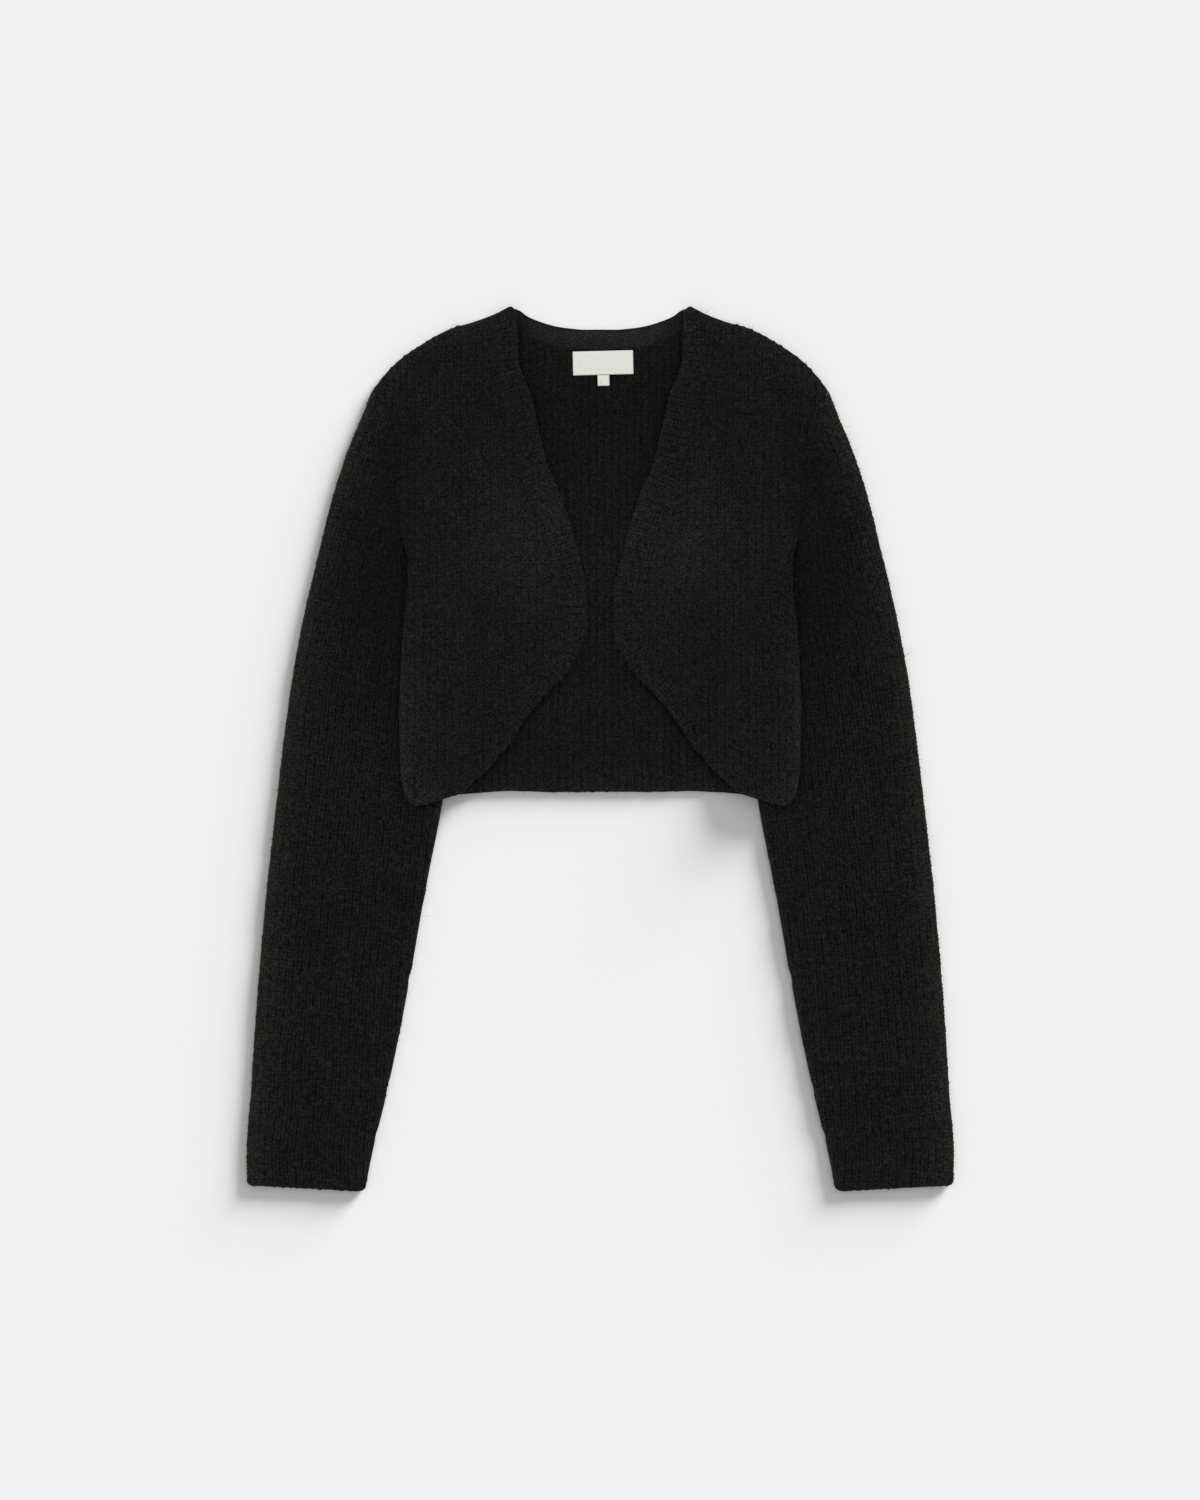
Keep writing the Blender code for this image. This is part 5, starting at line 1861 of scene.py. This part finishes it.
@dataclass(frozen=True)
class FibreFinish:
    """Loose fibres, each in its own shade."""
    hue: Triple = (1.05, 1.0, 0.92)  # their colour, to be scaled
    dark: float = 0.010  # brightness of the darkest
    light: float = 0.050  # and of the lightest
    rarity: float = 1.6  # the higher, the fewer are light

    def make(self, name: str) -> Material:
        """Makes the material: a power of a fibre's tone picks its shade.

        Args:
            name: its name.

        Returns:
            The material.
        """
        nodes = Nodes(name)
        tone = nodes.add("ShaderNodeAttribute", {}, attribute_name="tone").outputs["Fac"]
        share = nodes.math("POWER", tone, self.rarity)
        colour = nodes.mix(share, tint(self.dark, self.hue), tint(self.light, self.hue))
        return nodes.finish(colour, None, roughness=0.8, specular_ior_level=0.1)


@dataclass(frozen=True)
class FloorFinish:
    """The plain pale floor."""
    level: float = 0.70

    def make(self, name: str) -> Material:
        """Makes the material."""
        grey = tint(self.level, (1.0, 1.0, 1.0))
        return Nodes(name).finish(grey, None, roughness=1.0, specular_ior_level=0.0)


# ---- Studio ----

@dataclass
class Studio:
    """Floor, soft light and the camera that looks straight down.

    Two high lamps light the cloth from both sides, and a low one throws soft shadows on the floor.
    """
    floor_half: float = 30.0  # half the floor's width, in metres
    sky: float = 0.62  # brightness of the light from all round
    sun: float = 0.98  # strength of each high lamp
    sun_angle: float = math.radians(50.0)  # how wide a high lamp looks, which softens its shadows
    # how far it stands from straight above, sideways and towards the neck
    sun_tilt: Pair = (0.62, 0.42)
    low_sun: float = 9.0  # strength of the low lamp
    low_angle: float = math.radians(25.0)  # how wide the low lamp looks
    # how far it stands from straight above
    low_tilt: Pair = (2.8, 3.3)
    camera_place: Triple = (-0.0002, -0.0008, 2.912)  # the lens, in metres
    lens: float = 85.0  # focal length
    # the pieces that the high lamps light, once the studio is built
    cloth: bpy.types.Collection | None = None

    def build(self) -> Object:
        """Makes the stage, the lamps and the camera.

        Returns:
            The floor.
        """
        scene = bpy.context.scene
        scene.view_settings.view_transform = "Standard"
        scene.view_settings.look = "None"
        world = bpy.data.worlds.new("studio")
        world.use_nodes = True
        sky = world.node_tree.nodes["Background"]
        sky.inputs["Color"].default_value = (1.0, 1.0, 1.0, 1.0)
        sky.inputs["Strength"].default_value = self.sky
        scene.world = world
        floor = self.lay_floor()
        self.hang_lamps(floor)
        lens = bpy.data.cameras.new("camera")
        lens.lens = self.lens
        camera = bpy.data.objects.new("camera", lens)
        camera.location = self.camera_place
        scene.collection.objects.link(camera)
        scene.camera = camera
        return floor

    def lay_floor(self) -> Object:
        """Lays the square floor, which is stage.

        Returns:
            The floor.
        """
        half = self.floor_half
        item = Item("pale_floor", 1.0, FloorFinish().make("pale_floor"))
        mesh = bpy.data.meshes.new(item.name)
        corners = [(-half, -half, 0.0), (half, -half, 0.0), (half, half, 0.0), (-half, half, 0.0)]
        mesh.from_pydata(corners, [], [(0, 1, 2, 3)])
        floor = show(item, mesh)
        return floor

    def hang_lamps(self, floor: Object) -> None:
        """Hangs two high lamps, which light the cloth, and a low one, which lights the floor.

        Args:
            floor: the floor.
        """
        sideways, ahead = self.sun_tilt
        self.cloth = bpy.data.collections.new("lit_cloth")
        ground = bpy.data.collections.new("lit_floor")
        ground.objects.link(floor)
        for side in Side:
            tilt = (side.sign * sideways, ahead)
            self.lamp(f"high_lamp_{side.word}", self.sun, self.sun_angle, tilt, self.cloth)
        self.lamp("low_lamp", self.low_sun, self.low_angle, self.low_tilt, ground)

    def lamp(self, name: str, energy: float, angle: float, tilt: Pair,
             lit: bpy.types.Collection) -> None:
        """Adds a soft lamp.

        Args:
            name: its name.
            energy: its strength.
            angle: how wide it looks.
            tilt: how far it stands from straight above, sideways and towards the neck.
            lit: what it lights.
        """
        light = bpy.data.lights.new(name, "SUN")
        light.energy = energy
        light.angle = angle
        lamp = bpy.data.objects.new(name, light)
        lamp.rotation_euler = Vector((*tilt, 1.0)).to_track_quat("Z", "Y").to_euler()
        lamp.light_linking.receiver_collection = lit
        bpy.context.scene.collection.objects.link(lamp)


# ---- The shrug ----

@dataclass(frozen=True)
class Cut:
    """What a piece stands for, its slot, the size it was cut to in metres, and what it lies on."""
    node: str
    slot: str
    flat: Pair
    rests_on: str


def declare(cloth: Cloth, extras: list[Object], cut: Cut) -> None:
    """Ties a piece and what goes with it to the body, hides the node that it stands for, and logs its
    triangles.

    Args:
        cloth: the piece.
        extras: what grows from it or hangs on it.
        cut: its node, slot, flat size and what it lies on.
    """
    for part in (cloth.piece, *extras):
        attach(part, BODY)
    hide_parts(cut.node)
    for part in (cloth.piece, *extras):
        mesh = part.data
        LOG.info("%s: %d triangles", part.name, len(mesh.loops) - 2 * len(mesh.polygons))


# Seeds of a piece's cloth and of its fibres; a piece of the left half takes the next ones
BACK_SEEDS = (5, 501)
SLEEVE_SEEDS = (71, 511)
FRONT_SEEDS = (11, 521)
BAND_SEEDS = (31, 531)


@dataclass
class Shrug:
    """The whole garment: it builds its pieces from the back up."""
    knit: Material  # finish of the fronts
    band: Material  # finish of the bands, whose ribs' painted gap shade still shows where the painted light is high
    sleeve: Material  # finish of the sleeves, whose stitches are plainest
    inside: Material  # finish of the back's inner side
    neck: Material  # finish of the neck band
    tape: Material  # finish of the label and its tab
    loose: Material  # finish of the fibres
    fibres: Fibres = field(default_factory=Fibres)  # the fibres that grow from ribbed cloth

    def brush_up(self, cloth: Cloth, cut: Cut, sign: float, seed: int, shown: Array | None = None) -> None:
        """Grows fibres from a ribbed piece, and declares both.

        Args:
            cloth: the piece.
            cut: its node, slot, flat size and what it lies on.
            sign: which half it is for.
            seed: chooses the fibres.
            shown: where it shows, (rows, columns); everywhere if not given.
        """
        if shown is None:
            shown = np.ones(cloth.upper.shape[:2])
        item = Item(f"{cut.node}_fibres", sign, self.loose)
        fuzz = self.fibres.build(item, cloth, shown, seed)
        declare(cloth, [fuzz], cut)

    def build_back(self, floor: Object) -> None:
        """Builds the back and the neck band.

        Args:
            floor: what they lie on.
        """
        seed, fibre_seed = BACK_SEEDS
        neck_band = NeckBand()
        back = Back(seed=seed, neck_band=neck_band).build(Item("knit_back", 1.0, self.inside))
        cut = Cut("back", "rib_knit", (0.375, 0.413), floor.name)
        self.brush_up(back, cut, 1.0, fibre_seed, inside_opening(back.upper))
        band = neck_band.build(Item("smooth_neck_band", 1.0, self.neck))
        declare(band, [], Cut("neck_band", "neck_band_knit", (0.152, 0.0175), floor.name))

    def build_side(self, side: Side, floor: Object) -> None:
        """Builds one sleeve, one front and its band.

        Args:
            side: the half that they are for.
            floor: what the sleeve lies on.
        """
        word, sign = side.word, side.sign
        turn = list(Side).index(side)
        seed, fibre_seed = (first + turn for first in SLEEVE_SEEDS)
        sleeve = Sleeve(seed=seed).build(Item(f"knit_sleeve_{word}", sign, self.sleeve))
        cut = Cut(f"sleeve_{word}", "rib_knit", (0.300, 0.657), floor.name)
        self.brush_up(sleeve, cut, sign, fibre_seed, beside_body(sleeve.upper))
        band_seed, band_fibre_seed = (first + turn for first in BAND_SEEDS)
        band = Band(seed=band_seed)
        seed, fibre_seed = (first + turn for first in FRONT_SEEDS)
        front = Front(seed=seed, band=band).build(Item(f"knit_front_{word}", sign, self.knit))
        cut = Cut(f"front_{word}", "rib_knit", (0.152, 0.413), "knit_back")
        self.brush_up(front, cut, sign, fibre_seed)
        edging = band.build(Item(f"rib_band_{word}", sign, self.band))
        cut = Cut(f"band_{word}", "edge_band_knit", (0.024, 0.392), "knit_back")
        self.brush_up(edging, cut, sign, band_fibre_seed)

    def build_label(self) -> None:
        """Builds the bare label and the bare tab that hangs from its lower edge."""
        label = Tape(LABEL_SIZE, LABEL_MIDDLE)
        piece = label.build(Item("bare_label", 1.0, self.tape))
        out, up = label.middle
        down = 0.5 * (LABEL_SIZE[1] + TAB_SIZE[1]) + LIE.gap
        tab_middle = (out + down * math.sin(label.turn), up - down * math.cos(label.turn))
        tab = Tape(TAB_SIZE, tab_middle, bow=0.0).build(Item("bare_tab", 1.0, self.tape))
        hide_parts("size_tab")
        declare(piece, [tab.piece], Cut("label", "label_weave", (0.0496, 0.0196), "knit_back"))


# ---- The scene ----

def main() -> None:
    """Builds the studio and the shrug."""
    logging.basicConfig(level=logging.INFO, format="%(name)s: %(message)s")
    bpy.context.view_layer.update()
    studio = Studio()
    floor = studio.build()
    shrug = Shrug(
        knit=KnitFinish().make("rib_knit"),
        band=KnitFinish(gap=0.70, gap_light_fade=(1.3, 1.4), leg=0.45, rung=0.30, yarn=0.0107).make("rib_knit_band"),
        sleeve=KnitFinish(gap=0.86, leg=0.62, rung=0.50, yarn=0.0107).make("rib_knit_sleeve"),
        inside=KnitFinish(gap=0.58, leg=0.10, rung=0.30, yarn=0.0094).make("rib_knit_inside"),
        neck=NeckFinish().make("neck_band_knit"),
        tape=TapeFinish().make("label_weave"),
        loose=FibreFinish().make("loose_fibres"))
    shrug.build_back(floor)
    for side in Side:
        shrug.build_side(side, floor)
    shrug.build_label()
    for piece in bpy.context.scene.objects:
        if piece.type == "MESH" and piece is not floor:
            studio.cloth.objects.link(piece)


if __name__ == "__main__":
    main()
